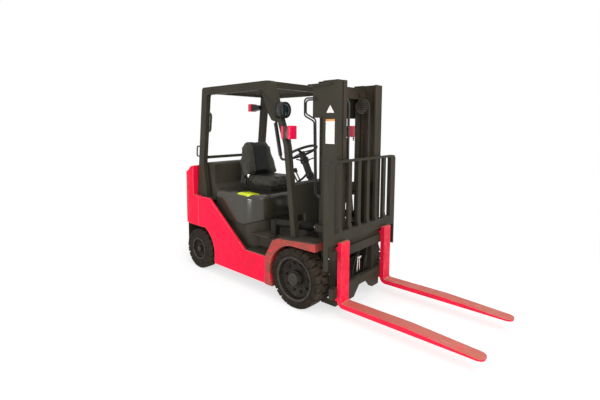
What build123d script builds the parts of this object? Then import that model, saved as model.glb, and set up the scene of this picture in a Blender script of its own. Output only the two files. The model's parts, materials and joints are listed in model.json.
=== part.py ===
from build123d import *
import math
import os

os.makedirs("parts", exist_ok=True)

# Counterbalance forklift truck in millimetres: X forward, Y left, Z up, ground at Z = 0.
# Modelled from a datum just ahead of the front axle and shifted to the middle of its length on export.

# Running gear
FRONT_X = -26
WHEELBASE = 1424
REAR_AXLE_X = FRONT_X - WHEELBASE
FRONT_R = 266
FRONT_W = 170
FRONT_BEAD_R = 193
FRONT_LUGS = 16
REAR_R = 222
REAR_W = 140
REAR_BEAD_R = 116
REAR_LUGS = 14
LUG_H = 14
RIM_FLANGE = 8
HALF_WIDTH = 540
FRONT_Y = HALF_WIDTH - FRONT_W / 2
REAR_Y = HALF_WIDTH - 10 - REAR_W / 2
KINGPIN_Y = REAR_Y - 105
KINGPIN_R = 16
AXLE_R = 55
FRONT_STUB_R = 40
REAR_STUB_R = 24
RUN_GAP = 0.3
NOSE_X = -230

# Mast and carriage
RAIL_X0 = 145
RAIL_X1 = 295
RAIL_OUT = HALF_WIDTH - FRONT_W - 9
RAIL_FLANGE = 70
RAIL_T = 18
OUTER_BOTTOM = 60
MAST_TOP = 1980
INNER_OUT = RAIL_OUT - RAIL_FLANGE - 6
INNER_FLANGE = 49
INNER_DX = 6
INNER_T = 16
LIFT_RAISED = 45
WRAP_Z0 = 1672
WRAP_Z1 = 1945
WRAP_T = 14
WRAP_X0 = 36
LIP_X0 = -12
LIP_X1 = 234
LIFT_X = 100
LIFT_Y = RAIL_OUT - 76
LIFT_R = 38
LIFT_ROD_R = 24
LIFT_Z0 = 150
LIFT_Z1 = 1690
CHAIN_Y = INNER_OUT - 120
SHEAVE_X = 206
SHEAVE_Z = 1780
SHEAVE_R = 60
CHAIN_W = 24
CHAIN_T = 12
CHAIN_LOW_Z = 250
CHAIN_REAR_Z = 1060
HOSE_R = 7
HOSE_PITCH = 17

# Forks, carriage and backrest
FORK_FACE_X = 390
FORK_T = 40
FORK_W = 118
FORK_Y = HALF_WIDTH - 184
FORK_TOP_Z = 136
FORK_LENGTH = 1080
SHANK_TOP_Z = 647
BAR_FRONT_X = FORK_FACE_X - FORK_T - RUN_GAP
BAR_T = 38
HOOK_LOW_Z = 170
HOOK_SPAN = 407
BAR_H = 76
BAR_HALF = HALF_WIDTH - 60
REST_HALF = 560
REST_LOW_Z = 631
REST_TOP_Z = 1320
REST_POST_W = 90
REST_BARS = 6
REST_BAR_W = 48

# Tilt cylinders
TILT_PIN = (105, 715)
TILT_TAIL = (-420, 672)
TILT_Y = RAIL_OUT - 9
TILT_R = 34
TILT_ROD_R = 15
TILT_PIN_R = 14
TILT_EYE_PLAY = 4
TILT_FORK = 17

# Body
SKIRT_Y = HALF_WIDTH - 10
SKIRT_T = 25
SKIRT_FRONT_X = -376
SKIRT_LOW_Z = 125
STEP_Z = 386
STEP_REAR_X = -679
SKIRT_TOP_Z = 826
SEAM_X = -1446
ARCH_R = 295
ARCH_Z = 488
REAR_X = -1850
REAR_CORNER_R = 257
TAIL_Z = 170
TAIL_FRONT_X = -1757
FRAME_Y = RAIL_OUT - 1
FLOOR_Z = 552
PLATE_T = 12
COWL_FOOT_X = -62
FRONT_ARCH_R = 292
FENDER_IN = HALF_WIDTH - FRONT_W - 4
FENDER_FRONT_X = 211
FENDER_REAR_X = -216
FENDER_FRONT_Z = 625
FENDER_REAR_Z = 589
HOOD_FRONT_X = -555
HOOD_REAR_X = -1235
HOOD_Y = SKIRT_Y - 90
HOOD_Z0 = 613
HOOD_Z1 = 915
HOOD_T = 8
HOOD_CORNER_R = 220
HOOD_LEAN = 5
HOOD_EDGE_R = 60
LIP_MID_X = -760
LIP_FRONT_Z = 676
LIP_GAP = 5
COVER_INSET = 20
COVER_T = 14
HINGE_X = -1241
HINGE_Y = 230
HINGE_Z = 908
HINGE_R = 6
SEAT_FRONT_X = -600
SEAT_Y = 230
SEAT_TOP_Z = 1440

# Overhead guard
GUARD_OUT = HALF_WIDTH - 64
GUARD_W = 55
GUARD_TOP = 2018
ROOF_FRONT_X = -395
ROOF_REAR_X = -1411
ROOF_BARS = 9
TAIL_LAMP_X = -1550
DASH_Y = GUARD_OUT - 176

FORK_TIP_X = FORK_FACE_X + FORK_LENGTH
SHIFT = -(FORK_TIP_X + REAR_X) / 2


def outline(*corners):
    """Closed face in the sketch plane; a corner is (u, v) or (u, v, radius)."""
    count = len(corners)
    edges = []
    starts = []
    ends = []
    for i, corner in enumerate(corners):
        here = Vector(corner[0], corner[1])
        radius = corner[2] if len(corner) > 2 else 0
        before = Vector(*corners[i - 1][:2])
        after = Vector(*corners[(i + 1) % count][:2])
        to_before = (before - here).normalized()
        to_after = (after - here).normalized()
        if radius == 0:
            starts.append(here)
            ends.append(here)
            continue
        half = math.acos(max(-1, min(1, to_before.dot(to_after)))) / 2
        reach = radius / math.tan(half)
        start = here + to_before * reach
        end = here + to_after * reach
        bisector = (to_before + to_after).normalized()
        middle = here + bisector * (radius / math.sin(half) - radius)
        edges.append(ThreePointArc(start, middle, end))
        starts.append(start)
        ends.append(end)
    for i in range(count):
        a = ends[i]
        b = starts[(i + 1) % count]
        if (b - a).length > 1e-6:
            edges.append(Line(a, b))
    return make_face(edges)


def slab_y(y0, y1, *corners):
    """Side-view outline (x, z) between two widths."""
    return extrude(Plane.XZ.offset(-y1) * outline(*corners), amount=y1 - y0)


def slab_z(z0, z1, *corners):
    """Plan outline (x, y) between two heights."""
    return extrude(Plane.XY.offset(z0) * outline(*corners), amount=z1 - z0)


def slab_x(x0, x1, *corners):
    """Front-view outline (y, z) between two lengths."""
    return extrude(Plane.YZ.offset(x0) * outline(*corners), amount=x1 - x0)


def block(x0, x1, y0, y1, z0, z1):
    middle = Pos((x0 + x1) / 2, (y0 + y1) / 2, (z0 + z1) / 2)
    return middle * Box(x1 - x0, y1 - y0, z1 - z0)


def rod(a, b, radius):
    """Round bar from point a to point b."""
    a = Vector(*a)
    b = Vector(*b)
    low = (Align.CENTER, Align.CENTER, Align.MIN)
    return Plane(origin=a, z_dir=b - a) * Cylinder(radius, (b - a).length, align=low)


def bent_rod(radius, bend, *points):
    """Round bar along a path with filleted corners."""
    path = FilletPolyline(*points, radius=bend)
    return sweep(Plane(origin=path @ 0, z_dir=path % 0) * Circle(radius), path=path)


def flip(part):
    """The same piece on the other side of the truck."""
    return mirror(part, about=Plane.XZ)


def spin(*corners):
    """Body of revolution about Y from (radius, y) corners."""
    return revolve(Plane.XY * outline(*corners), Axis.Y)


def polygon_y(radius, sides, y):
    """Flat-sided outline across Y with a flat at the bottom."""
    corner_r = radius / math.cos(math.pi / sides)
    return Plane.XZ.offset(-y) * RegularPolygon(corner_r, sides, rotation=180 / sides)


def tyre(radius, width, bead_r, lugs):
    """Tyre about Y: flat-sided carcass with shoulder lugs, one of them at the bottom."""
    half = width / 2
    base = radius - LUG_H
    sides = 2 * lugs
    shoulder_y = half * 0.80
    wall_y = half * 0.97
    middle = extrude(polygon_y(base, sides, shoulder_y), amount=2 * shoulder_y)
    ends = [polygon_y(base, sides, shoulder_y), polygon_y(base - 26, sides, wall_y)]
    shoulder = loft(ends, ruled=True)
    wide = base * math.tan(math.pi / sides) * 0.94
    pad = slab_z(
        -radius,
        -radius + LUG_H + 12,
        (-wide, half),
        (wide, half),
        (wide * 0.9, half * 0.1),
        (-wide * 0.4, half * 0.1),
    )
    other = Rot(0, 0, 180) * pad
    pads = []
    for i in range(lugs):
        turn = Rot(0, i * 360 / lugs, 0)
        pads.append(turn * pad)
        pads.append(turn * other)
    bore = extrude(polygon_y(bead_r, sides, half), amount=2 * half)
    recess = extrude(polygon_y(bead_r + RIM_FLANGE + 1, sides, half), amount=half * 0.14)
    return middle.fuse(shoulder, flip(shoulder), *pads) - bore - recess


def front_rim():
    """Dished disc wheel about Y, outside towards +Y, with a blind hub bore."""
    half = FRONT_W / 2
    seat = FRONT_BEAD_R
    rim = spin(
        (FRONT_STUB_R + 28, half * 0.80),
        (20, half * 0.80),
        (20, -half * 0.60),
        (FRONT_STUB_R + 30, -half * 0.60),
        (FRONT_STUB_R + 30, -half * 0.05),
        (seat - 34, half * 0.25),
        (seat - 14, -half * 0.86),
        (seat, -half * 0.86),
        (seat, half * 0.86),
        (seat + RIM_FLANGE, half * 0.90),
        (seat + RIM_FLANGE, half * 0.98),
        (seat - 14, half * 0.90),
        (seat - 22, half * 0.38),
        (FRONT_STUB_R + 62, half * 0.16),
        (FRONT_STUB_R + 28, half * 0.20),
    )
    core = rod((0, -half * 0.60, 0), (0, half * 0.80, 0), 24)
    bore = rod((0, -half * 0.60, 0), (0, half * 0.55, 0), FRONT_STUB_R + RUN_GAP)
    return rim.fuse(core) - bore


def rear_rim():
    """Deep disc wheel about Y; its inner side leaves room for the knuckle."""
    half = REAR_W / 2
    seat = REAR_BEAD_R
    rim = spin(
        (REAR_STUB_R + 10, half * 0.88),
        (16, half * 0.88),
        (16, half * 0.05),
        (REAR_STUB_R + 16, half * 0.05),
        (REAR_STUB_R + 18, half * 0.20),
        (seat - 26, half * 0.30),
        (seat - 12, -half * 0.86),
        (seat, -half * 0.86),
        (seat, half * 0.86),
        (seat + RIM_FLANGE, half * 0.90),
        (seat + RIM_FLANGE, half * 0.98),
        (seat - 10, half * 0.92),
        (seat - 18, half * 0.46),
        (REAR_STUB_R + 24, half * 0.38),
        (REAR_STUB_R + 12, half * 0.50),
    )
    core = rod((0, half * 0.05, 0), (0, half * 0.88, 0), 20)
    bore = rod((0, 0, 0), (0, half * 0.70, 0), REAR_STUB_R + RUN_GAP)
    return rim.fuse(core) - bore


def drive_axle():
    """Front axle housing with differential, brake drums and wheel stubs."""
    drum_y = HALF_WIDTH - FRONT_W - 4
    x = FRONT_X
    tube = rod((x, -drum_y, FRONT_R), (x, drum_y, FRONT_R), AXLE_R)
    bulge = rod((x, -105, FRONT_R), (x, 105, FRONT_R), 118)
    stub_y = FRONT_Y + FRONT_W * 0.25
    stub = rod((x, -stub_y, FRONT_R), (x, stub_y, FRONT_R), FRONT_STUB_R)
    nose = block(NOSE_X, x, -85, 85, FRONT_R - 65, FRONT_R + 80)
    return tube.fuse(bulge, stub, nose)


def steer_axle():
    """Rear axle beam with yoke ears and the steering cylinder in front of it."""
    x = REAR_AXLE_X
    beam = block(x - 38, x + 38, -KINGPIN_Y + 40, KINGPIN_Y - 40, REAR_R - 45, REAR_R + 45)
    centre = block(x - 105, x + 105, -100, 100, REAR_R - 30, ARCH_Z - 40)
    parts = [centre]
    for side in (-1, 1):
        y = side * KINGPIN_Y
        for low in (REAR_R - 76, REAR_R + 50):
            ear = rod((x, y, low), (x, y, low + 26), 31)
            arm_in = y - side * 70
            arm = block(x - 31, x + 31, min(arm_in, y), max(arm_in, y), low, low + 26)
            parts.append(ear)
            parts.append(arm)
        web_out = y - side * 44
        web_in = y - side * 70
        web = block(x - 31, x + 31, min(web_in, web_out), max(web_in, web_out), REAR_R - 76, REAR_R + 76)
        parts.append(web)
    cylinder = rod((x + 72, -96, REAR_R - 8), (x + 72, 96, REAR_R - 8), 30)
    parts.append(cylinder)
    whole = beam.fuse(*parts)
    for side in (-1, 1):
        y = side * KINGPIN_Y
        whole -= rod((x, y, REAR_R - 90), (x, y, REAR_R + 90), KINGPIN_R + RUN_GAP)
    return whole


def knuckle_left():
    """Kingpin, knuckle block and stub axle of the left steered wheel."""
    x = REAR_AXLE_X
    pin = rod((x, KINGPIN_Y, REAR_R - 80), (x, KINGPIN_Y, REAR_R + 80), KINGPIN_R)
    hub = rod((x, KINGPIN_Y, REAR_R - 46), (x, KINGPIN_Y, REAR_R + 46), 30)
    neck = rod((x, KINGPIN_Y, REAR_R), (x, REAR_Y - 2, REAR_R), REAR_STUB_R + 12)
    stub = rod((x, KINGPIN_Y, REAR_R), (x, REAR_Y + REAR_W * 0.30, REAR_R), REAR_STUB_R)
    return hub.fuse(pin, neck, stub)


def hood_plan(inset):
    """Plan of the engine cover: straight sides and large front corners."""
    y = HOOD_Y + 10 - inset
    x = HOOD_FRONT_X - inset
    r = HOOD_CORNER_R - inset
    return [(HOOD_REAR_X, -y), (x, -y, r), (x, y, r), (HOOD_REAR_X, y)]


def hood_cover():
    """Fixed wall under the hood's lip, following its rounded front corners."""
    rear_end = REAR_AXLE_X + ARCH_R + 5
    low = STEP_Z - PLATE_T
    outside = slab_z(low, LIP_FRONT_Z, *hood_plan(COVER_INSET))
    inside = slab_z(low - 1, LIP_FRONT_Z + 1, *hood_plan(COVER_INSET + COVER_T))
    keep = slab_y(
        -HALF_WIDTH,
        HALF_WIDTH,
        (rear_end, low - 1),
        (rear_end - 60, ARCH_Z + 22),
        (HOOD_REAR_X, ARCH_Z + 22),
        (HOOD_REAR_X, HOOD_Z0 - LIP_GAP),
        (LIP_MID_X, HOOD_Z0 - LIP_GAP),
        (HOOD_FRONT_X, LIP_FRONT_Z - LIP_GAP),
        (HOOD_FRONT_X, low - 1),
    )
    under_floor = block(HOOD_FRONT_X - 150, HOOD_FRONT_X, -FRAME_Y, FRAME_Y, 0, FLOOR_Z - PLATE_T)
    return ((outside - inside) & keep) - under_floor


def frame():
    """Chassis weldment: side members, bulkheads, belly pan and side covers."""
    rear_end = REAR_AXLE_X + ARCH_R + 5
    front_end = FRONT_X - 95
    inner_y = FRAME_Y - 15
    floor_low = FLOOR_Z - PLATE_T
    member = block(rear_end, front_end, FRAME_Y - 20, FRAME_Y, 190, floor_low)
    pan = block(rear_end, front_end - 15, -inner_y, inner_y, 180, 195)
    front = block(front_end - 15, front_end, -inner_y, inner_y, 190, floor_low)
    back = block(rear_end, rear_end + 18, -inner_y, inner_y, 190, ARCH_Z)
    saddle = block(front_end - 5, FRONT_X + 60, 110, 200, FRONT_R + 40, FRONT_R + 130)
    shelf = block(REAR_AXLE_X - 95, rear_end + 18, 110, inner_y, ARCH_Z, ARCH_Z + 22)
    skirt_in = SKIRT_Y - SKIRT_T
    floor_web = block(rear_end, SKIRT_FRONT_X, FRAME_Y - 10, skirt_in, STEP_Z - 3 * PLATE_T, STEP_Z - PLATE_T)
    rear_web = block(HOOD_REAR_X, rear_end + 18, FRAME_Y - 20, skirt_in, ARCH_Z, ARCH_Z + 22)
    half = member.fuse(saddle, shelf, floor_web, rear_web)
    for x in (LIP_MID_X - 40, HOOD_REAR_X + 90):
        rest = block(x - 25, x + 25, HOOD_Y - 24, HOOD_Y + 6, HOOD_Z0 - 14, HOOD_Z0 - RUN_GAP)
        half = half.fuse(rest)
    half -= rod((FRONT_X, 0, FRONT_R), (FRONT_X, HALF_WIDTH, FRONT_R), AXLE_R)
    window = block(front_end - 45, front_end + 5, -110, 110, 170, FRONT_R + 130)
    return hood_cover().fuse(half, flip(half), pan - window, front - window, back)


def side_skirt_right():
    """Painted side plate with the front half of the rear wheel arch."""
    rise = ARCH_Z - REAR_R
    arch_x = REAR_AXLE_X + math.sqrt(ARCH_R**2 - rise**2)
    plate = slab_y(
        -SKIRT_Y,
        -SKIRT_Y + SKIRT_T,
        (SKIRT_FRONT_X, SKIRT_LOW_Z, 12),
        (SKIRT_FRONT_X, STEP_Z),
        (STEP_REAR_X, STEP_Z, 40),
        (-1243, SKIRT_TOP_Z - 4, 30),
        (SEAM_X + 0.5, SKIRT_TOP_Z),
        (SEAM_X + 0.5, ARCH_Z),
        (arch_x, ARCH_Z),
        (-1150, SKIRT_LOW_Z),
    )
    arch = rod((REAR_AXLE_X, -SKIRT_Y - 5, REAR_R), (REAR_AXLE_X, -SKIRT_Y + SKIRT_T + 5, REAR_R), ARCH_R)
    low = block(REAR_AXLE_X - 10, arch_x + 400, -SKIRT_Y - 5, -SKIRT_Y + SKIRT_T + 5, 0, ARCH_Z)
    return plate - (arch & low)


def fender_z(x):
    """Height of the mudguard's upper face at a given length."""
    slope = (FENDER_FRONT_Z - FENDER_REAR_Z) / (FENDER_FRONT_X - FENDER_REAR_X)
    return FENDER_REAR_Z + (x - FENDER_REAR_X) * slope


def fender_right():
    """Front mudguard: deck over the tyre, round arch and a leg down to the side plate."""
    low = FRONT_R + FRONT_ARCH_R
    body = slab_y(
        -HALF_WIDTH,
        -FENDER_IN,
        (FENDER_FRONT_X, low),
        (FENDER_FRONT_X, FENDER_FRONT_Z),
        (FENDER_REAR_X, FENDER_REAR_Z, 60),
        (-279, 562, 40),
        (SKIRT_FRONT_X, STEP_Z + 4),
        (SKIRT_FRONT_X, SKIRT_LOW_Z, 12),
        (FRONT_X, SKIRT_LOW_Z),
        (FRONT_X, low),
    )
    arch = rod((FRONT_X, -HALF_WIDTH - 5, FRONT_R), (FRONT_X, -FENDER_IN + 5, FRONT_R), FRONT_ARCH_R)
    return body - arch


def floor_plates():
    """Operator floor, step treads and the dark decks on the mudguards."""
    floor = block(HOOD_FRONT_X - 90, COWL_FOOT_X, -GUARD_OUT, GUARD_OUT, FLOOR_Z - PLATE_T, FLOOR_Z)
    floor -= slab_z(FLOOR_Z - 2 * PLATE_T, FLOOR_Z + PLATE_T, *hood_plan(COVER_INSET))
    notch = block(SKIRT_FRONT_X - 4, 300, -HALF_WIDTH, -FENDER_IN + 3, 0, FLOOR_Z + 5)
    floor = floor - notch - flip(notch)
    step = block(STEP_REAR_X + 25, SKIRT_FRONT_X - 2, -SKIRT_Y, -FRAME_Y, STEP_Z, STEP_Z + PLATE_T)
    step -= slab_z(STEP_Z - 1, STEP_Z + PLATE_T + 1, *hood_plan(COVER_INSET))
    deck_rear_x = FENDER_REAR_X + 30
    deck = slab_y(
        -HALF_WIDTH + 6,
        -FENDER_IN,
        (FENDER_FRONT_X, FENDER_FRONT_Z),
        (FENDER_FRONT_X, FENDER_FRONT_Z + PLATE_T),
        (deck_rear_x, fender_z(deck_rear_x) + PLATE_T),
        (deck_rear_x, fender_z(deck_rear_x)),
    )
    return [floor, step, flip(step), deck, flip(deck)]


def cowl():
    """Front panel behind the mast with notches for the tilt cylinders."""
    panel = slab_y(
        -GUARD_OUT + GUARD_W,
        GUARD_OUT - GUARD_W,
        (COWL_FOOT_X, FLOOR_Z),
        (COWL_FOOT_X - 66, 1075, 8),
        (COWL_FOOT_X - 88, 1075, 8),
        (COWL_FOOT_X - 30, FLOOR_Z),
    )
    notch = block(-200, 0, TILT_Y - TILT_R - 24, GUARD_OUT, FLOOR_Z - 1, FLOOR_Z + 250)
    return panel - notch - flip(notch)


def dashboard():
    """Instrument pod on the back of the front panel."""
    pod = slab_y(
        -DASH_Y,
        DASH_Y,
        (-150.2, 1074),
        (-215, 1080, 20),
        (-300, 1000, 30),
        (-270, 880, 40),
        (-125.4, 850),
    )
    return pod


def steering_column():
    """Column shroud from the instrument pod up to the steering wheel."""
    low = (-235, 0, 1020)
    high = (-372, 0, 1300)
    return rod(low, high, 34) - dashboard()


def steering_wheel():
    """Rim, spokes, hub and spinner knob on the column's axis."""
    axis = Vector(-372 + 235, 0, 1300 - 1020).normalized()
    foot = Vector(-372, 0, 1300) + axis * RUN_GAP
    plane = Plane(origin=foot + axis * 42, x_dir=(0, 1, 0), z_dir=axis)
    ring = plane * Torus(160, 13)
    hub = plane * Pos(0, 0, -21) * Cylinder(30, 42)
    wheel = hub.fuse(ring)
    for angle in (90, 210, 330):
        spoke = plane * Rot(0, 0, angle) * Pos(88, 0, -6) * Box(140, 22, 9)
        wheel = wheel.fuse(spoke)
    knob = plane * Rot(0, 0, 150) * Pos(160, 0, 28) * Cylinder(18, 40)
    return wheel.fuse(knob)


def controls():
    """Hydraulic levers beside the column and the floor pedals."""
    parts = []
    for i in range(3):
        y = 60 - DASH_Y + 45 * i
        lever = rod((-260, y, 1039.9), (-330, y, 1150), 7)
        knob = rod((-330, y, 1150), (-343, y, 1178), 17)
        parts.append(lever.fuse(knob))
    for y in (-190, -60, 90):
        pad = block(-240, -222, y - 38, y + 38, FLOOR_Z + 60, FLOOR_Z + 130)
        arm = block(-230, -103.3, y - 8, y + 8, FLOOR_Z + 80, FLOOR_Z + 100)
        parts.append(pad.fuse(arm))
    return parts


def rear_plan(inset):
    """Plan of the counterweight with rounded rear corners."""
    y = SKIRT_Y - inset
    r = REAR_CORNER_R - inset
    x = REAR_X + inset
    return [(SEAM_X, -y), (x, -y, r), (x, y, r), (SEAM_X, y)]


def counterweight():
    """Cast counterweight with a sloping top and a slotted rear air outlet."""
    low = slab_z(ARCH_Z, SKIRT_TOP_Z, *rear_plan(0))
    tall = slab_z(SKIRT_TOP_Z, 1160, *rear_plan(0))
    keep = slab_y(
        -600,
        600,
        (-1536, 800),
        (-1536, 1160),
        (-1580, 1148, 30),
        (-1640, 1100, 60),
        (REAR_X - 10, 1040),
        (REAR_X - 10, 800),
    )
    whole = low.fuse(tall & keep)
    bay_y = SKIRT_Y - 200
    bay = block(SEAM_X - 60, SEAM_X + 5, -bay_y, bay_y, ARCH_Z + 60, SKIRT_TOP_Z + 5)
    whole -= bay
    shelf_y = FRAME_Y - 10
    whole -= block(SEAM_X - 100, SEAM_X + 5, -shelf_y, shelf_y, ARCH_Z - 1, ARCH_Z + 22.5)
    for i in range(5):
        y = -160 + 80 * i
        whole -= block(REAR_X - 5, REAR_X + 70, y - 24, y + 24, 620, 880)
    return whole


def counterweight_tail():
    """Dark lower tail behind the steered wheels with the towing pin."""
    body = slab_z(TAIL_Z, ARCH_Z, *rear_plan(12))
    front = block(TAIL_FRONT_X, 0, -600, 600, 0, 600)
    body -= front
    keel = block(TAIL_FRONT_X - 5, REAR_AXLE_X - 105, -100, 100, REAR_R + 60, ARCH_Z)
    body = body.fuse(keel)
    body -= block(REAR_X - 5, REAR_X + 80, -48, 48, 300, 400)
    pin = rod((REAR_X + 40, 0, 280), (REAR_X + 40, 0, 420), 15)
    return body.fuse(pin)


def radiator_cover():
    """Dark box behind the seat, with the fixed knuckles of the hood's hinge."""
    half_y = SKIRT_Y - 130
    body = slab_y(
        -half_y,
        half_y,
        (-1246, SKIRT_TOP_Z),
        (-1246, 893, 10),
        (-1300, 960, 30),
        (-1312, 1190, 30),
        (-1500, 1190, 20),
        (-1536, 1100),
        (-1536, SKIRT_TOP_Z),
    )
    for y in (HINGE_Y - 31, HINGE_Y + 61):
        knuckle = rod((HINGE_X, y, HINGE_Z), (HINGE_X, y + 30, HINGE_Z), HINGE_R)
        leaf = block(HINGE_X - 10, HINGE_X, y, y + 30, HINGE_Z - 28, HINGE_Z)
        fixed = knuckle.fuse(leaf)
        body = body.fuse(fixed, flip(fixed))
    return body


def deck_rear():
    """Shelf over the frame that carries the radiator cover and the rear pillars."""
    return block(SEAM_X, HOOD_REAR_X - 10, -SKIRT_Y + SKIRT_T, SKIRT_Y - SKIRT_T, SKIRT_TOP_Z - 30, SKIRT_TOP_Z)


def engine():
    """Engine and transmission as one plain block."""
    motor_front = HOOD_FRONT_X - 60
    motor = block(-1130, motor_front, -230, 230, 210, 800)
    box = block(motor_front - 20, NOSE_X, -150, 150, 200, 430)
    return motor.fuse(box)


def hood_shell(inset):
    """Rounded cover body that leans inwards, smaller by an inset."""
    y = HOOD_Y + 10 - inset
    x = HOOD_FRONT_X - inset
    r = HOOD_CORNER_R - inset
    back = HOOD_REAR_X - 80
    plan = outline((back, -y), (x, -y, r), (x, y, r), (back, y))
    tall = HOOD_Z1 - HOOD_Z0 - inset
    body = extrude(Plane.XY.offset(HOOD_Z0) * plan, amount=tall, taper=HOOD_LEAN)
    rim = body.faces().sort_by(Axis.Z)[-1].edges().sort_by(Axis.X)[1:]
    return fillet(rim, HOOD_EDGE_R - inset)


def hood():
    """Engine cover under the seat: a rounded shell, open underneath and at its hinge."""
    keep = slab_y(
        -HALF_WIDTH,
        HALF_WIDTH,
        (HOOD_REAR_X, HOOD_Z0),
        (LIP_MID_X, HOOD_Z0),
        (HOOD_FRONT_X, LIP_FRONT_Z),
        (HOOD_FRONT_X, HOOD_Z1 + 5),
        (HOOD_REAR_X, HOOD_Z1 + 5),
    )
    shell = (hood_shell(0) - hood_shell(HOOD_T)) & keep
    barrel = rod((HINGE_X, HINGE_Y, HINGE_Z), (HINGE_X, HINGE_Y + 60, HINGE_Z), HINGE_R)
    leaf = block(HINGE_X, HOOD_REAR_X + 12, HINGE_Y, HINGE_Y + 60, HINGE_Z - 3, HINGE_Z + 4)
    moving = barrel.fuse(leaf)
    return shell.fuse(moving, flip(moving))


def seat_base():
    """Seat slide and pan on the hood."""
    slide = block(-1010, SEAT_FRONT_X - 60, -170, 170, HOOD_Z1, HOOD_Z1 + 35)
    pan = block(-1050, SEAT_FRONT_X - 30, -205, 205, HOOD_Z1 + 35, HOOD_Z1 + 52)
    return slide.fuse(pan)


def seat_cushion():
    """Seat pad with large front corners and a rounded upper edge."""
    pad = slab_z(
        HOOD_Z1 + 52,
        HOOD_Z1 + 140,
        (-1035, -SEAT_Y, 40),
        (SEAT_FRONT_X, -SEAT_Y, 90),
        (SEAT_FRONT_X, SEAT_Y, 90),
        (-1035, SEAT_Y, 40),
    )
    return fillet(pad.faces().sort_by(Axis.Z)[-1].edges(), 30)


def seat_back():
    """Backrest of the seat, narrower towards its rounded top."""
    low = HOOD_Z1 + 110
    side = slab_y(
        -SEAT_Y - 10,
        SEAT_Y + 10,
        (-1036, HOOD_Z1 + 52),
        (-1036, low + 30),
        (-950, low + 32, 20),
        (-1028, SEAT_TOP_Z, 34),
        (-1122, SEAT_TOP_Z, 34),
        (-1080, HOOD_Z1 + 52),
    )
    front = slab_x(
        -1150,
        -900,
        (-SEAT_Y - 11, HOOD_Z1 + 50),
        (-SEAT_Y - 11, low + 160),
        (-SEAT_Y + 34, SEAT_TOP_Z - 70),
        (-SEAT_Y + 100, SEAT_TOP_Z + 1),
        (SEAT_Y - 100, SEAT_TOP_Z + 1),
        (SEAT_Y - 34, SEAT_TOP_Z - 70),
        (SEAT_Y + 11, low + 160),
        (SEAT_Y + 11, HOOD_Z1 + 50),
    )
    return side & front


def guard_side_right():
    """Bent side frame of the overhead guard: rear pillar, roof rail, front pillar."""
    waist_z = GUARD_TOP - 588
    brow_z = GUARD_TOP - 183
    return slab_y(
        -GUARD_OUT,
        -GUARD_OUT + GUARD_W,
        (-57, fender_z(-57) + PLATE_T),
        (-150, waist_z, 300),
        (-292, brow_z, 300),
        (-352, GUARD_TOP - 6, 40),
        (ROOF_FRONT_X - 30, GUARD_TOP),
        (ROOF_REAR_X, GUARD_TOP, 30),
        (ROOF_REAR_X - 8, GUARD_TOP - 60),
        (-1528, SKIRT_TOP_Z),
        (-1350, SKIRT_TOP_Z),
        (-1409, 1180, 200),
        (-1328, GUARD_TOP - 80, 20),
        (-480, GUARD_TOP - 80, 90),
        (-343, brow_z, 200),
        (-200, waist_z, 300),
        (-107, fender_z(-107) + PLATE_T),
    )


def guard_roof():
    """Front and rear beams, lengthwise bars and the lower rear crossbar."""
    inner = GUARD_OUT - GUARD_W
    front = block(ROOF_FRONT_X - 75, ROOF_FRONT_X - 15, -inner, inner, GUARD_TOP - 62, GUARD_TOP - 2)
    rear = block(ROOF_REAR_X + 10, ROOF_REAR_X + 70, -inner, inner, GUARD_TOP - 62, GUARD_TOP - 2)
    roof = front.fuse(rear)
    for i in range(ROOF_BARS):
        y = inner * (2 * (i + 1) / (ROOF_BARS + 1) - 1)
        bar = block(ROOF_REAR_X + 60, ROOF_FRONT_X - 70, y - 8, y + 8, GUARD_TOP - 46, GUARD_TOP - 2)
        roof = roof.fuse(bar)
    return [roof, block(-1466, -1428, -inner, inner, 1236, 1266)]


def handles():
    """Grab handles on the right-hand pillars and the loop behind the rear one."""
    y = -GUARD_OUT + GUARD_W / 2
    high = GUARD_TOP - 280
    low = GUARD_TOP - 473
    rear = bent_rod(12, 30, (-1372, y, high), (-1290, y, high), (-1312, y, low), (-1392, y, low))
    high = GUARD_TOP - 368
    low = GUARD_TOP - 718
    front = bent_rod(11, 30, (-268, y, high), (-330, y, high), (-255, y, low), (-175, y, low))
    loop = bent_rod(8, 20, (-1460, y, 1374), (-1560, y, 1374), (-1568, y, 1262), (-1470, y, 1262))
    pillar = guard_side_right()
    return [rear - pillar, front - pillar, loop - pillar]


def headlamp_right():
    """Round work lamp with its bracket on the front pillar."""
    y = -GUARD_OUT + 12
    z = GUARD_TOP - 276
    can = rod((-271, y, z), (-195, y, z), 72)
    arm = block(-335, -265, y - 15, y + 15, z - 22, z + 28)
    return can.fuse(arm) - guard_side_right()


def indicator_right():
    """Box lamp on a bracket at the front pillar."""
    y = -GUARD_OUT
    case = block(-195, -82, y - 44, y + 20, GUARD_TOP - 522, GUARD_TOP - 412)
    return case - guard_side_right()


def tail_lamp_left():
    """Rear lamp lens on the left rear pillar."""
    y = GUARD_OUT
    z = GUARD_TOP - 183
    return block(TAIL_LAMP_X - 55, TAIL_LAMP_X, y - 100, y - 10, z - 48, z + 48)


def tail_lamp_case_left():
    """Wedge-shaped housing between the rear lamp and its pillar."""
    y = GUARD_OUT
    z = GUARD_TOP - 183
    case = slab_y(
        y - 92,
        y - 14,
        (TAIL_LAMP_X, z - 44),
        (TAIL_LAMP_X, z + 44),
        (TAIL_LAMP_X + 135, z + 24),
        (TAIL_LAMP_X + 135, z - 24),
    )
    return case - flip(guard_side_right())


def c_rail(x0, x1, out, flange, thick, z0, z1):
    """Left mast rail: a channel that opens towards the middle."""
    return slab_z(
        z0,
        z1,
        (x0, out),
        (x0, out - flange),
        (x0 + thick, out - flange),
        (x0 + thick, out - thick),
        (x1 - thick, out - thick),
        (x1 - thick, out - flange),
        (x1, out - flange),
        (x1, out),
    )


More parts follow.
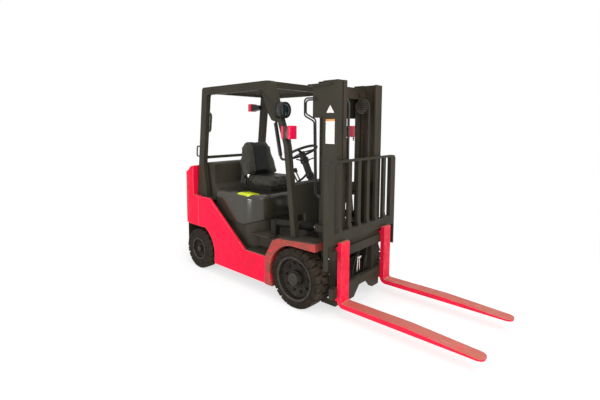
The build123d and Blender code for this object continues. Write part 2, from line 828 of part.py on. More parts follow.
def outer_mast():
    """Outer rails, cross-members, axle trunnions and tilt ears."""
    rail = c_rail(RAIL_X0, RAIL_X1, RAIL_OUT, RAIL_FLANGE, RAIL_T, OUTER_BOTTOM, MAST_TOP)
    foot = slab_y(
        RAIL_OUT - RAIL_FLANGE,
        RAIL_OUT,
        (RAIL_X0 + 2, FRONT_R - 131),
        (RAIL_X0 + 2, FRONT_R + 189),
        (FRONT_X + 86, FRONT_R + 119, 30),
        (FRONT_X - 50, FRONT_R + 99, 60),
        (FRONT_X - 50, FRONT_R - 81, 60),
        (FRONT_X + 76, FRONT_R - 131, 30),
    )
    ring = rod((FRONT_X, RAIL_OUT - RAIL_FLANGE, FRONT_R), (FRONT_X, RAIL_OUT, FRONT_R), AXLE_R + 34)
    base = block(LIFT_X - LIFT_R - 4, RAIL_X0, LIFT_Y - LIFT_R, RAIL_OUT, LIFT_Z0 - 30, LIFT_Z0)
    side = LIFT_R + 8
    clamp = block(LIFT_X - side, RAIL_X0, LIFT_Y - side, RAIL_OUT + 4, WRAP_Z0, LIFT_Z1)
    cheek = block(WRAP_X0, RAIL_X0 + 2, RAIL_OUT - WRAP_T, RAIL_OUT, WRAP_Z0, WRAP_Z1)
    lip_z0 = WRAP_Z1 - 4
    lip_z1 = WRAP_Z1 + 14
    lip = block(LIP_X0, RAIL_X0, RAIL_OUT - 31, RAIL_OUT + WRAP_T, lip_z0, lip_z1)
    edge = block(RAIL_X0 - 2, LIP_X1, RAIL_OUT - 2, RAIL_OUT + WRAP_T, lip_z0, lip_z1)
    pin_x = TILT_PIN[0]
    pin_z = TILT_PIN[1]
    wide = TILT_FORK + 8
    inner_ear = block(pin_x - 26, RAIL_X0, TILT_Y - wide, TILT_Y - TILT_FORK, pin_z - 30, pin_z + 30)
    outer_ear = block(pin_x - 26, RAIL_X0 + 30, TILT_Y + TILT_FORK, TILT_Y + wide, pin_z - 30, pin_z + 30)
    bridge = block(RAIL_X0, RAIL_X0 + 30, RAIL_OUT - 4, TILT_Y + wide, pin_z - 30, pin_z + 30)
    pin = rod((pin_x, TILT_Y - wide + 2, pin_z), (pin_x, TILT_Y + wide - 2, pin_z), TILT_PIN_R)
    half = rail.fuse(foot, ring, base, clamp, cheek, lip, edge, inner_ear, outer_ear, bridge, pin)
    half -= rod((FRONT_X, 0, FRONT_R), (FRONT_X, RAIL_OUT + 20, FRONT_R), AXLE_R + RUN_GAP)
    back = block(WRAP_X0, WRAP_X0 + WRAP_T, -RAIL_OUT, RAIL_OUT, WRAP_Z0, WRAP_Z1)
    middle = block(RAIL_X0 - 18, RAIL_X0, -RAIL_OUT + 8, RAIL_OUT - 8, 950, 1040)
    low = block(RAIL_X0 - 18, RAIL_X0, -RAIL_OUT + 8, RAIL_OUT - 8, 170, 330)
    barrel = rod((LIFT_X, LIFT_Y, LIFT_Z0), (LIFT_X, LIFT_Y, MAST_TOP), LIFT_R)
    bolt_x = SHEAVE_X - SHEAVE_R - CHAIN_T / 2
    bolt = rod((bolt_x, CHAIN_Y, 1030), (bolt_x, CHAIN_Y, CHAIN_REAR_Z), 5)
    whole = half.fuse(flip(half), back, middle, low, bolt, flip(bolt))
    return whole - barrel - flip(barrel)


def mast_hoses(mast):
    """Two hydraulic hoses that loop out at the mast head and run down the right rail."""
    hoses = []
    y = -RAIL_OUT
    for s in (0, HOSE_PITCH):
        route = bent_rod(
            HOSE_R,
            30,
            (90, y + 3, 1842 - s),
            (s - 45, y - 13, 1842 - s),
            (s - 45, y - 13, 1690 + s),
            (s + 58, y - 9, 1640 + s),
            (s + 60, y + 9, 1010 - s),
            (140, y + 16, 985 - s),
        )
        hoses.append(route - mast)
    return hoses


def lift_barrel_left():
    """Hollow lift cylinder barrel with its gland."""
    tube = rod((LIFT_X, LIFT_Y, LIFT_Z0), (LIFT_X, LIFT_Y, LIFT_Z1), LIFT_R)
    gland = rod((LIFT_X, LIFT_Y, LIFT_Z1), (LIFT_X, LIFT_Y, LIFT_Z1 + 30), LIFT_R + 6)
    bore = rod((LIFT_X, LIFT_Y, LIFT_Z0 + 20), (LIFT_X, LIFT_Y, LIFT_Z1 - 10), LIFT_R - 8)
    port = rod((LIFT_X, LIFT_Y, LIFT_Z1 - 12), (LIFT_X, LIFT_Y, LIFT_Z1 + 31), LIFT_ROD_R + RUN_GAP)
    return tube.fuse(gland) - bore - port


def lift_rod_left():
    """Lift rod up to the head bracket of the inner mast."""
    return rod((LIFT_X, LIFT_Y, LIFT_Z0 + 70), (LIFT_X, LIFT_Y, MAST_TOP - 25), LIFT_ROD_R)


def inner_mast():
    """Inner rails with ties, guide rollers, rod heads and chain wheel forks."""
    bottom = OUTER_BOTTOM + LIFT_RAISED
    x0 = RAIL_X0 + INNER_DX
    rail = c_rail(x0, RAIL_X1 + INNER_DX, INNER_OUT, INNER_FLANGE, INNER_T, bottom, MAST_TOP)
    mid_x = (RAIL_X0 + RAIL_X1) / 2
    roller_r = (RAIL_X1 - RAIL_X0) / 2 - RAIL_T - 5
    roller = rod((mid_x, INNER_OUT - 4, 175), (mid_x, RAIL_OUT - RAIL_T - 5, 175), roller_r)
    inside = INNER_OUT - INNER_FLANGE
    head = slab_z(
        MAST_TOP - 25,
        MAST_TOP,
        (x0 + 14, inside + 4),
        (x0 + 14, INNER_OUT - 1),
        (RAIL_X0 - 7, INNER_OUT - 1),
        (RAIL_X0 - 7, LIFT_Y + 36),
        (LIFT_X - 36, LIFT_Y + 36),
        (LIFT_X - 36, inside + 4),
    )
    half = rail.fuse(roller, head)
    for y in (CHAIN_Y - 26, CHAIN_Y + 16):
        cheek = slab_y(
            y,
            y + 10,
            (x0 + 4, 1900),
            (SHEAVE_X, 1900, 20),
            (SHEAVE_X + 26, SHEAVE_Z - 20, 20),
            (SHEAVE_X - 20, SHEAVE_Z - 20, 10),
        )
        half = half.fuse(cheek)
    axle = rod((SHEAVE_X, CHAIN_Y - 20, SHEAVE_Z), (SHEAVE_X, CHAIN_Y + 20, SHEAVE_Z), 12)
    half = half.fuse(axle)
    ties = []
    for z0, z1 in ((1848, 1951), (1000, 1080), (130, 230)):
        ties.append(block(x0 + 2, x0 + 16, -inside - 6, inside + 6, z0, z1))
    return half.fuse(flip(half), *ties)


def sheave_left():
    """Grooved chain wheel on the inner mast."""
    wide = CHAIN_W / 2
    body = spin(
        (12, -wide - 2),
        (SHEAVE_R + 8, -wide - 2),
        (SHEAVE_R + 8, -wide),
        (SHEAVE_R, -wide),
        (SHEAVE_R, wide),
        (SHEAVE_R + 8, wide),
        (SHEAVE_R + 8, wide + 2),
        (12, wide + 2),
    )
    return Pos(SHEAVE_X, CHAIN_Y, SHEAVE_Z) * body


def chain_front_left():
    """Front run of the lift chain, from the wheel down to the carriage."""
    x = SHEAVE_X + SHEAVE_R
    return block(x, x + CHAIN_T, CHAIN_Y - CHAIN_W / 2 + 1, CHAIN_Y + CHAIN_W / 2 - 1, CHAIN_LOW_Z, SHEAVE_Z)


def chain_rear_left():
    """Rear run of the lift chain and its half turn over the wheel."""
    x = SHEAVE_X - SHEAVE_R
    wide = CHAIN_W / 2 - 1
    run = block(x - CHAIN_T, x, CHAIN_Y - wide, CHAIN_Y + wide, CHAIN_REAR_Z, SHEAVE_Z)
    band = spin((SHEAVE_R, -wide), (SHEAVE_R + CHAIN_T, -wide), (SHEAVE_R + CHAIN_T, wide), (SHEAVE_R, wide))
    band = Pos(SHEAVE_X, CHAIN_Y, SHEAVE_Z) * band
    upper = block(SHEAVE_X - 100, SHEAVE_X + 100, 0, 300, SHEAVE_Z, SHEAVE_Z + 100)
    return run.fuse(band & upper)


def carriage():
    """Fork carriage: hook bars, side plates with rollers and chain anchors."""
    back_x = BAR_FRONT_X - BAR_T
    low_top = HOOK_LOW_Z + BAR_H + 14
    high = HOOK_LOW_Z + HOOK_SPAN
    lobe = INNER_OUT - 13
    lower = slab_x(
        back_x,
        BAR_FRONT_X,
        (-BAR_HALF, HOOK_LOW_Z),
        (-lobe, HOOK_LOW_Z),
        (-lobe, 100, 12),
        (-155, 100, 12),
        (-70, 188, 20),
        (70, 188, 20),
        (155, 100, 12),
        (lobe, 100, 12),
        (lobe, HOOK_LOW_Z),
        (BAR_HALF, HOOK_LOW_Z),
        (BAR_HALF, low_top),
        (-BAR_HALF, low_top),
    )
    upper = block(back_x, BAR_FRONT_X, -BAR_HALF, BAR_HALF, high - BAR_H, high)
    riser = block(back_x, back_x + 14, -BAR_HALF, BAR_HALF, high - 4, REST_LOW_Z)
    parts = [upper, riser]
    mid_x = (RAIL_X0 + RAIL_X1) / 2 + INNER_DX
    roller_r = (RAIL_X1 - RAIL_X0) / 2 - INNER_T - 5
    roller_out = INNER_OUT - INNER_T - 5
    plate_in = INNER_OUT - 89
    plate_out = INNER_OUT - 69
    for side in (-1, 1):
        y0 = min(side * plate_in, side * plate_out)
        y1 = max(side * plate_in, side * plate_out)
        parts.append(block(205, back_x + 4, y0, y1, 120, 620))
        for z in (230, 470):
            parts.append(rod((mid_x, side * (plate_in + 4), z), (mid_x, side * roller_out, z), roller_r))
        anchor_x = SHEAVE_X + SHEAVE_R + CHAIN_T / 2
        foot = CHAIN_LOW_Z - 40
        parts.append(rod((anchor_x, side * CHAIN_Y, foot), (anchor_x, side * CHAIN_Y, CHAIN_LOW_Z), 10))
    shelf_y = plate_in + 4
    parts.append(block(235, 290, -shelf_y, shelf_y, CHAIN_LOW_Z - 65, CHAIN_LOW_Z - 35))
    return lower.fuse(*parts)


def backrest():
    """Load backrest: lower rail, end posts, upright bars with sloped feet and a rounded top."""
    x0 = BAR_FRONT_X - BAR_T
    x1 = BAR_FRONT_X
    bar_x1 = x1 - 12
    rail_top = REST_LOW_Z + 94
    frame_in = REST_HALF - REST_POST_W
    hoop = slab_x(
        x0,
        x1,
        (-REST_HALF, REST_LOW_Z),
        (-REST_HALF, REST_TOP_Z, 44),
        (REST_HALF, REST_TOP_Z, 44),
        (REST_HALF, REST_LOW_Z),
    )
    hole = slab_x(
        x0 - 1,
        x1 + 1,
        (-frame_in, rail_top),
        (-frame_in, REST_TOP_Z - 20, 20),
        (frame_in, REST_TOP_Z - 20, 20),
        (frame_in, rail_top),
    )
    parts = []
    pitch = (2 * REST_HALF - REST_POST_W) / (REST_BARS + 1)
    for i in range(REST_BARS):
        y = pitch * (i - (REST_BARS - 1) / 2)
        y0 = y - REST_BAR_W / 2
        y1 = y + REST_BAR_W / 2
        bar = block(x0, bar_x1, y0, y1, rail_top - 5, REST_TOP_Z - 15)
        foot = slab_y(y0, y1, (x0, rail_top - 5), (x1, rail_top - 5), (bar_x1, rail_top + 50), (x0, rail_top + 50))
        parts.append(bar.fuse(foot))
    for side in (-1, 1):
        y0 = min(side * REST_HALF, side * (REST_HALF - 18))
        y1 = max(side * REST_HALF, side * (REST_HALF - 18))
        parts.append(block(x0, x1, y0, y1, 435, REST_LOW_Z + 5))
    return (hoop - hole).fuse(*parts)


def fork_right():
    """Fork with hooks, heel radius and a tapered, rounded tip."""
    bottom = FORK_TOP_Z - FORK_T
    back = FORK_FACE_X - FORK_T
    low = -FORK_Y - FORK_W / 2
    high = -FORK_Y + FORK_W / 2
    arm = slab_y(
        low,
        high,
        (back, bottom, 60),
        (FORK_TIP_X, bottom),
        (FORK_TIP_X, bottom + 12),
        (FORK_TIP_X - 520, FORK_TOP_Z, 400),
        (FORK_FACE_X, FORK_TOP_Z, 20),
        (FORK_FACE_X, SHANK_TOP_Z, 8),
        (back, SHANK_TOP_Z, 8),
    )
    plan = slab_z(
        bottom - 5,
        SHANK_TOP_Z + 5,
        (back - 5, low),
        (FORK_TIP_X, low, 46),
        (FORK_TIP_X, high, 46),
        (back - 5, high),
    )
    hook_z = HOOK_LOW_Z + HOOK_SPAN + RUN_GAP
    upper = block(back - 18, back + 4, low, high, hook_z, hook_z + 26)
    lower = block(back - 18, back + 4, low, high, HOOK_LOW_Z - RUN_GAP - 22, HOOK_LOW_Z - RUN_GAP)
    return (arm & plan).fuse(upper, lower)


def tilt_axis():
    """Unit vector of the tilt cylinders in side view."""
    along = Vector(TILT_PIN[0] - TILT_TAIL[0], 0, TILT_PIN[1] - TILT_TAIL[1])
    return along.normalized()


def tilt_barrel_left():
    """Hollow tilt cylinder barrel with the tail eye."""
    axis = tilt_axis()
    tail = Vector(TILT_TAIL[0], TILT_Y, TILT_TAIL[1])
    body = rod(tail + axis * 40, tail + axis * 330, TILT_R)
    neck = rod(tail, tail + axis * 60, TILT_ROD_R)
    gland = rod(tail + axis * 318, tail + axis * 345, TILT_R + 5)
    eye = rod((tail.X, TILT_Y - 16, tail.Z), (tail.X, TILT_Y + 16, tail.Z), 32)
    bore = rod(tail + axis * 60, tail + axis * 320, TILT_R - 8)
    port = rod(tail + axis * 300, tail + axis * 350, TILT_ROD_R + RUN_GAP)
    pivot = rod((tail.X, TILT_Y - 20, tail.Z), (tail.X, TILT_Y + 20, tail.Z), TILT_PIN_R + RUN_GAP)
    return body.fuse(gland, eye, neck) - bore - port - pivot


def tilt_rod_left():
    """Tilt rod and its eye, which has play round the mast pin."""
    axis = tilt_axis()
    tail = Vector(TILT_TAIL[0], TILT_Y, TILT_TAIL[1])
    tip = Vector(TILT_PIN[0], TILT_Y, TILT_PIN[1])
    shaft = rod(tail + axis * 210, tip, TILT_ROD_R)
    eye = rod((tip.X, TILT_Y - 13, tip.Z), (tip.X, TILT_Y + 13, tip.Z), TILT_PIN_R + TILT_EYE_PLAY + 11)
    hole = rod((tip.X, TILT_Y - 20, tip.Z), (tip.X, TILT_Y + 20, tip.Z), TILT_PIN_R + TILT_EYE_PLAY)
    return shaft.fuse(eye) - hole


def tilt_tail_left():
    """Frame bracket and pin that hold the tilt cylinder's tail."""
    x = TILT_TAIL[0]
    z = TILT_TAIL[1]
    ears = block(x - 30, x + 30, TILT_Y - 30, TILT_Y - 18, FLOOR_Z, z + 28)
    outer = block(x - 30, x + 30, TILT_Y + 18, TILT_Y + 30, FLOOR_Z, z + 28)
    pin = rod((x, TILT_Y - 26, z), (x, TILT_Y + 26, z), TILT_PIN_R)
    return ears.fuse(outer, pin)


def save(name, *parts):
    """Write one node, shifted to the frame's origin."""
    solids = []
    for part in parts:
        moved = Pos(SHIFT, 0, 0) * part
        solids.extend(moved.solids())
    shape = solids[0] if len(solids) == 1 else Compound(solids)
    export_step(shape, f"parts/{name}.step")


def pair(part):
    """A left-hand or right-hand piece and its mirror image."""
    return [part, flip(part)]


front_tyre = Pos(FRONT_X, FRONT_Y, FRONT_R) * tyre(FRONT_R, FRONT_W, FRONT_BEAD_R, FRONT_LUGS)
front_wheel = Pos(FRONT_X, FRONT_Y, FRONT_R) * front_rim()
rear_tyre = Pos(REAR_AXLE_X, REAR_Y, REAR_R) * tyre(REAR_R, REAR_W, REAR_BEAD_R, REAR_LUGS)
rear_wheel = Pos(REAR_AXLE_X, REAR_Y, REAR_R) * rear_rim()
knuckle = knuckle_left()
fork = fork_right()
mast = outer_mast()

save("front_tyre_left", front_tyre)
save("front_tyre_right", flip(front_tyre))
save("front_rim_left", front_wheel)
save("front_rim_right", flip(front_wheel))
save("rear_tyre_left", rear_tyre)
save("rear_tyre_right", flip(rear_tyre))
save("rear_rim_left", rear_wheel)
save("rear_rim_right", flip(rear_wheel))
save("drive_axle", drive_axle())
save("steer_axle", steer_axle())
save("knuckle_left", knuckle)
save("knuckle_right", flip(knuckle))
save("frame", frame())
save("side_skirts", *pair(side_skirt_right()))
save("fenders", *pair(fender_right()))
save("floor_plates", *floor_plates())
save("cowl", cowl())
save("dashboard", dashboard())
save("steering_column", steering_column())
save("steering_wheel", steering_wheel())
save("controls", *controls())
save("counterweight", counterweight())
save("counterweight_tail", counterweight_tail())
save("radiator_cover", radiator_cover())
save("rear_deck", deck_rear())
save("engine", engine())
save("hood", hood())
save("seat_base", seat_base())
save("seat_cushion", seat_cushion())
save("seat_back", seat_back())
save("guard_sides", *pair(guard_side_right()))
save("guard_roof", *guard_roof())
save("handles", *handles())
save("headlamps", *pair(headlamp_right()))
save("indicators", *pair(indicator_right()))
save("tail_lamp", tail_lamp_left())
save("tail_lamp_case", tail_lamp_case_left())
save("outer_mast", mast)
save("mast_hoses", *mast_hoses(mast))
save("lift_barrels", *pair(lift_barrel_left()))
save("inner_mast", inner_mast())
save("lift_rods", *pair(lift_rod_left()))
save("chain_wheels", *pair(sheave_left()))
save("chain_front", *pair(chain_front_left()))
save("chain_rear", *pair(chain_rear_left()))
save("carriage", carriage())
save("backrest", backrest())
save("fork_left", flip(fork))
save("fork_right", fork)
save("tilt_barrels", *pair(tilt_barrel_left()))
save("tilt_rods", *pair(tilt_rod_left()))
save("tilt_brackets", *pair(tilt_tail_left()))
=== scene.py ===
import json
import math

import bmesh
import bpy
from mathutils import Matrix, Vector


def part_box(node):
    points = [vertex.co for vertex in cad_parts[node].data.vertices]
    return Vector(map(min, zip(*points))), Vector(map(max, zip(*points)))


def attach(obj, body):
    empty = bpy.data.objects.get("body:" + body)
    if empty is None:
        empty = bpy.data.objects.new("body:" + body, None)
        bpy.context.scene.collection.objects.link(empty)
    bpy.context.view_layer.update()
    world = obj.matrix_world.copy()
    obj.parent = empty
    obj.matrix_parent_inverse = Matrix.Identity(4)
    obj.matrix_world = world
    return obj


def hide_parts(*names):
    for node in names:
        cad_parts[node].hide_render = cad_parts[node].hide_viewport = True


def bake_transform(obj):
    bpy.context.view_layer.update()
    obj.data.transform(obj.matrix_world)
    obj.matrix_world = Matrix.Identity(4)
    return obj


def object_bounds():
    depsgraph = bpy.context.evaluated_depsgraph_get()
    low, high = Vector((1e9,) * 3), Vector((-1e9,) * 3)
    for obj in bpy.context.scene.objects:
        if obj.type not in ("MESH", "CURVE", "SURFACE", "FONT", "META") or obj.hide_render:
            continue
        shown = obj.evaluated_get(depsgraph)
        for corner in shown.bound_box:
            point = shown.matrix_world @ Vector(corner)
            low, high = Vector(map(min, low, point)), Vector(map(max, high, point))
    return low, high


# Counterbalance truck: finishes, fittings, seat covers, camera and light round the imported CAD
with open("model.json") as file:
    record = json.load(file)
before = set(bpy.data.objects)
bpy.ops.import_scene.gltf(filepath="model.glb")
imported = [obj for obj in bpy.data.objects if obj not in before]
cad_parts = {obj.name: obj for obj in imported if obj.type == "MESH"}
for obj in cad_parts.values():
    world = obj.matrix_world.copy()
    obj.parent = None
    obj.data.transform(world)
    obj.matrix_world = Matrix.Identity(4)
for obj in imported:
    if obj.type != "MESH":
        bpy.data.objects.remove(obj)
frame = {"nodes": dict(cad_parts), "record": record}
cad_low, cad_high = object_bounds()
nodes = frame["nodes"]
scene = bpy.context.scene
scene.view_settings.view_transform = "Standard"

# Places in metres from the truck's datum: the fork tips lie this far ahead of it
FORK_TIP = 1.470
DATUM_X = cad_high.x - FORK_TIP


def at(x, y, z):
    """Point of the frame from the datum, the middle plane and the ground."""
    return Vector((DATUM_X + x, y, z))


def wheel_place(node):
    """Axle place, distance from the middle plane and radius of a wheel, from its tyre."""
    low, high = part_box(node)
    return (low.x + high.x) / 2 - DATUM_X, abs(low.y + high.y) / 2, (high.z - low.z) / 2


FRONT_X, FRONT_Y, FRONT_R = wheel_place("front_tyre_right")
REAR_X, REAR_Y, REAR_R = wheel_place("rear_tyre_right")

# Centre panel of the seat: half its width, and the height where the black one on the back starts
PANEL_HALF = 0.105
PANEL_FOOT = 1.050


# Finishes
class Finish:
    """Node material round one Principled shader, laid out in the resting frame."""

    def __init__(self, name, rough=0.5, metal=0.0, specular=0.5):
        self.material = bpy.data.materials.new(name)
        self.material.use_nodes = True
        self.nodes = self.material.node_tree.nodes
        self.links = self.material.node_tree.links
        self.shader = self.nodes["Principled BSDF"]
        coords = self.nodes.new("ShaderNodeTexCoord")
        self.place = coords.outputs["Object"]
        self.facing = coords.outputs["Normal"]
        self.shader.inputs["Roughness"].default_value = rough
        self.shader.inputs["Metallic"].default_value = metal
        self.shader.inputs["Specular IOR Level"].default_value = specular

    def plug(self, socket, value):
        """Link an output, or write a number or colour, into a socket."""
        if isinstance(value, bpy.types.NodeSocket):
            self.links.new(value, socket)
        elif isinstance(value, tuple) and len(value) == 3 and socket.type == "RGBA":
            socket.default_value = (*value, 1)
        else:
            socket.default_value = value

    def noise(self, scale, detail=4, stretch=None):
        """Cloudy pattern from 0 to 1, stretched along an axis if asked."""
        node = self.nodes.new("ShaderNodeTexNoise")
        place = self.place
        if stretch:
            mapping = self.nodes.new("ShaderNodeMapping")
            mapping.inputs["Scale"].default_value = stretch
            self.links.new(place, mapping.inputs["Vector"])
            place = mapping.outputs["Vector"]
        self.links.new(place, node.inputs["Vector"])
        node.inputs["Scale"].default_value = scale
        node.inputs["Detail"].default_value = detail
        node.inputs["Roughness"].default_value = 0.62
        return node.outputs["Fac"]

    def cells(self, scale, feature="F1"):
        """Distance pattern of scattered cells."""
        node = self.nodes.new("ShaderNodeTexVoronoi")
        node.feature = feature
        self.links.new(self.place, node.inputs["Vector"])
        node.inputs["Scale"].default_value = scale
        return node.outputs["Distance"]

    def math(self, operation, a, b=0.0):
        """Result of one sum on outputs or numbers."""
        node = self.nodes.new("ShaderNodeMath")
        node.operation = operation
        self.plug(node.inputs[0], a)
        self.plug(node.inputs[1], b)
        return node.outputs[0]

    def ramp(self, value, low, high, top=1.0):
        """Smooth step of a value from low to high, up to top."""
        node = self.nodes.new("ShaderNodeMapRange")
        node.interpolation_type = "SMOOTHSTEP"
        self.plug(node.inputs["Value"], value)
        node.inputs["From Min"].default_value = low
        node.inputs["From Max"].default_value = high
        node.inputs["To Max"].default_value = top
        return node.outputs["Result"]

    def mix(self, factor, a, b):
        """Colour between a and b."""
        node = self.nodes.new("ShaderNodeMix")
        node.data_type = "RGBA"
        self.plug(node.inputs[0], factor)
        self.plug(node.inputs[6], a)
        self.plug(node.inputs[7], b)
        return node.outputs[2]

    def axis(self, vector, letter):
        """One component of a vector."""
        node = self.nodes.new("ShaderNodeSeparateXYZ")
        self.links.new(vector, node.inputs["Vector"])
        return node.outputs[letter]

    def radius(self, x, z):
        """Distance from an axle line that runs along Y."""
        dx = self.math("SUBTRACT", self.axis(self.place, "X"), x)
        dz = self.math("SUBTRACT", self.axis(self.place, "Z"), z)
        square = self.math("ADD", self.math("MULTIPLY", dx, dx), self.math("MULTIPLY", dz, dz))
        return self.math("SQRT", square)

    def rounded(self, radius):
        """Normal that rounds sharp edges off."""
        node = self.nodes.new("ShaderNodeBevel")
        node.samples = 4
        node.inputs["Radius"].default_value = radius
        return node.outputs["Normal"]

    def edges(self, radius, low=0.02, high=0.25):
        """Mask of the sharp edges, within a radius."""
        geometry = self.nodes.new("ShaderNodeNewGeometry")
        dot = self.nodes.new("ShaderNodeVectorMath")
        dot.operation = "DOT_PRODUCT"
        self.links.new(self.rounded(radius), dot.inputs[0])
        self.links.new(geometry.outputs["Normal"], dot.inputs[1])
        bend = self.math("SUBTRACT", 1.0, dot.outputs["Value"])
        return self.ramp(bend, low, high)

    def bump(self, height, strength, distance, normal=None):
        """Normal disturbed by a height pattern."""
        node = self.nodes.new("ShaderNodeBump")
        node.inputs["Strength"].default_value = strength
        node.inputs["Distance"].default_value = distance
        self.links.new(height, node.inputs["Height"])
        if normal is not None:
            self.links.new(normal, node.inputs["Normal"])
        return node.outputs["Normal"]

    def coat(self, colour, rough=None, normal=None):
        """Hand the finished colour, roughness and normal to the shader."""
        self.plug(self.shader.inputs["Base Color"], colour)
        if rough is not None:
            self.plug(self.shader.inputs["Roughness"], rough)
        if normal is not None:
            self.links.new(normal, self.shader.inputs["Normal"])
        return self.material


RED = (0.89, 0.0040, 0.044)
RED_DEEP = (0.68, 0.004, 0.034)
RED_PALE = (0.94, 0.05, 0.12)
# Pale pink of the painted highlight along the edges of the red sheets
RED_EDGE_HIGHLIGHT = (0.92, 0.30, 0.32)
RUST_DUST = (0.20, 0.055, 0.034)
WORN_FORK = (0.50, 0.135, 0.098)
DARK = (0.027, 0.0245, 0.0165)
DARK_DUSTY = (0.043, 0.038, 0.026)
DARK_DUST = (0.060, 0.055, 0.043)
DARK_CHIP = (0.115, 0.098, 0.080)
BLACK = (0.0085, 0.0083, 0.0075)
RUBBER = (0.0130, 0.0098, 0.0064)
RUBBER_WORN = (0.062, 0.047, 0.034)
RUBBER_DUSTY = (0.024, 0.019, 0.014)
# Brown-grey of the painted highlight on the edges of the tread lugs
RUBBER_LUG_HIGHLIGHT = (0.095, 0.076, 0.058)
RUBBER_DUST = (0.045, 0.035, 0.026)
FORK_SCRAPE = (0.66, 0.27, 0.20)
TRODDEN_DUST = (0.056, 0.044, 0.032)
RIM = (0.0125, 0.0110, 0.0088)
RIM_DUSTY = (0.027, 0.0225, 0.0165)
RIM_CHIP = (0.13, 0.11, 0.09)
ROD = (0.72, 0.71, 0.69)
ROD_OILY = (0.50, 0.48, 0.44)
CHAIN_GAP = (0.016, 0.013, 0.010)
CHAIN_PLATE = (0.115, 0.10, 0.082)
CHAIN_OIL = (0.040, 0.028, 0.020)
VINYL = (0.036, 0.034, 0.026)
VINYL_PALE = (0.052, 0.048, 0.037)
IRON = (0.030, 0.028, 0.026)
IRON_RUSTY = (0.07, 0.058, 0.046)

# Spacing of a chain's pins and of its leaves
CHAIN_PITCH = 0.016
CHAIN_LEAF = 0.005
# Waves of the rings on a tyre and of the ribs in a lens, in radians to the metre
RING_WAVES = 520.0
RIB_WAVES = 900.0


def red_paint():
    """Crimson body paint, faintly mottled, with a pale painted highlight along the sheet edges."""
    f = Finish("red_body_paint", specular=0.16)
    colour = f.mix(f.ramp(f.noise(3.2, 5), 0.38, 0.72), RED, RED_DEEP)
    scuff = f.ramp(f.noise(22, 7), 0.60, 0.80, 0.35)
    colour = f.mix(scuff, colour, RED_PALE)
    low = f.ramp(f.axis(f.place, "Z"), 0.62, 0.14)
    grime = f.math("MULTIPLY", low, f.ramp(f.noise(13, 7), 0.56, 0.80, 0.40))
    colour = f.mix(grime, colour, RUST_DUST)
    # Painted highlight: pale pink along the sharp sheet edges, broken up by noise
    edge = f.math("MULTIPLY", f.edges(0.008), f.ramp(f.noise(30, 5), 0.2, 0.5, 0.9))
    colour = f.mix(edge, colour, RED_EDGE_HIGHLIGHT)
    rough = f.ramp(f.noise(16, 6), -0.3, 1.0, 0.85)
    wave = f.bump(f.noise(5, 2), 0.12, 0.004, f.rounded(0.004))
    return f.coat(colour, rough, wave)


def fender_paint():
    """The same paint on the mudguards, rubbed down and full of brown dust."""
    f = Finish("red_mudguard_paint", specular=0.25)
    colour = f.mix(f.ramp(f.noise(7, 6), 0.35, 0.65), RED, RED_DEEP)
    dust = f.ramp(f.noise(11, 7), 0.24, 0.52, 0.92)
    colour = f.mix(dust, colour, RUST_DUST)
    speck = f.ramp(f.noise(60, 4), 0.60, 0.70, 0.8)
    colour = f.mix(speck, colour, RED_PALE)
    # Painted highlight along the sharp edges, at half strength
    edge = f.math("MULTIPLY", f.edges(0.005), 0.5)
    colour = f.mix(edge, colour, RED_EDGE_HIGHLIGHT)
    return f.coat(colour, 0.62, f.bump(f.noise(40, 4), 0.2, 0.002, f.rounded(0.004)))


def fork_paint():
    """Fork paint, worn to a dusty salmon on the load faces."""
    f = Finish("red_fork_paint", specular=0.3)
    colour = f.mix(f.ramp(f.noise(6, 5), 0.35, 0.65), RED, RED_DEEP)
    up = f.ramp(f.axis(f.facing, "Z"), 0.45, 0.85)
    rubbed = f.math("MULTIPLY", up, f.ramp(f.noise(18, 6, (0.35, 1, 1)), 0.15, 0.50, 0.96))
    colour = f.mix(rubbed, colour, WORN_FORK)
    scrape = f.ramp(f.noise(30, 7, (0.2, 1, 1)), 0.58, 0.72, 0.45)
    colour = f.mix(f.math("MULTIPLY", scrape, up), colour, FORK_SCRAPE)
    shank = f.ramp(f.noise(14, 6), 0.58, 0.76, 0.35)
    colour = f.mix(shank, colour, RED_PALE)
    # Painted highlight along the sharp edges of the forks, broken up by noise
    edge = f.math("MULTIPLY", f.edges(0.006), f.ramp(f.noise(24, 4), 0.3, 0.6, 0.6))
    colour = f.mix(edge, colour, RED_EDGE_HIGHLIGHT)
    rough = f.ramp(f.noise(20, 5), -0.1, 1.0, 0.95)
    return f.coat(colour, rough, f.bump(f.noise(90, 5, (0.25, 1, 1)), 0.15, 0.002, f.rounded(0.005)))


def dark_paint(name, base, dusty, rough_top, edge_top=0.35, specular=0.13):
    """Olive charcoal chassis paint with dust on what faces up and rubbed edges."""
    f = Finish(name, specular=specular)
    tone = f.ramp(f.noise(4.5, 6), 0.32, 0.70, 0.6)
    colour = f.mix(tone, base, dusty)
    up = f.ramp(f.axis(f.facing, "Z"), 0.3, 0.95)
    dust = f.math("MULTIPLY", up, f.ramp(f.noise(14, 6), 0.30, 0.70, 0.5))
    colour = f.mix(dust, colour, DARK_DUST)
    streak = f.ramp(f.noise(16, 5, (1, 1, 0.12)), 0.55, 0.75, 0.35)
    colour = f.mix(streak, colour, dusty)
    edge = f.math("MULTIPLY", f.edges(0.005), f.ramp(f.noise(26, 5), 0.30, 0.62, edge_top))
    colour = f.mix(edge, colour, DARK_CHIP)
    rough = f.ramp(f.noise(9, 6), -0.5, 1.0, rough_top)
    return f.coat(colour, rough, f.bump(f.noise(55, 3), 0.10, 0.0015, f.rounded(0.004)))


def tread_plate():
    """Dark studded steel for steps and decks, brown with trodden dust."""
    f = Finish("tread_plate_steel", specular=0.2)
    colour = f.mix(f.ramp(f.noise(8, 6), 0.34, 0.68), DARK, TRODDEN_DUST)
    stud = f.cells(95)
    colour = f.mix(f.ramp(stud, 0.32, 0.10, 0.35), colour, DARK_CHIP)
    return f.coat(colour, 0.66, f.bump(f.ramp(stud, 0.45, 0.20), 0.55, 0.003, f.rounded(0.003)))


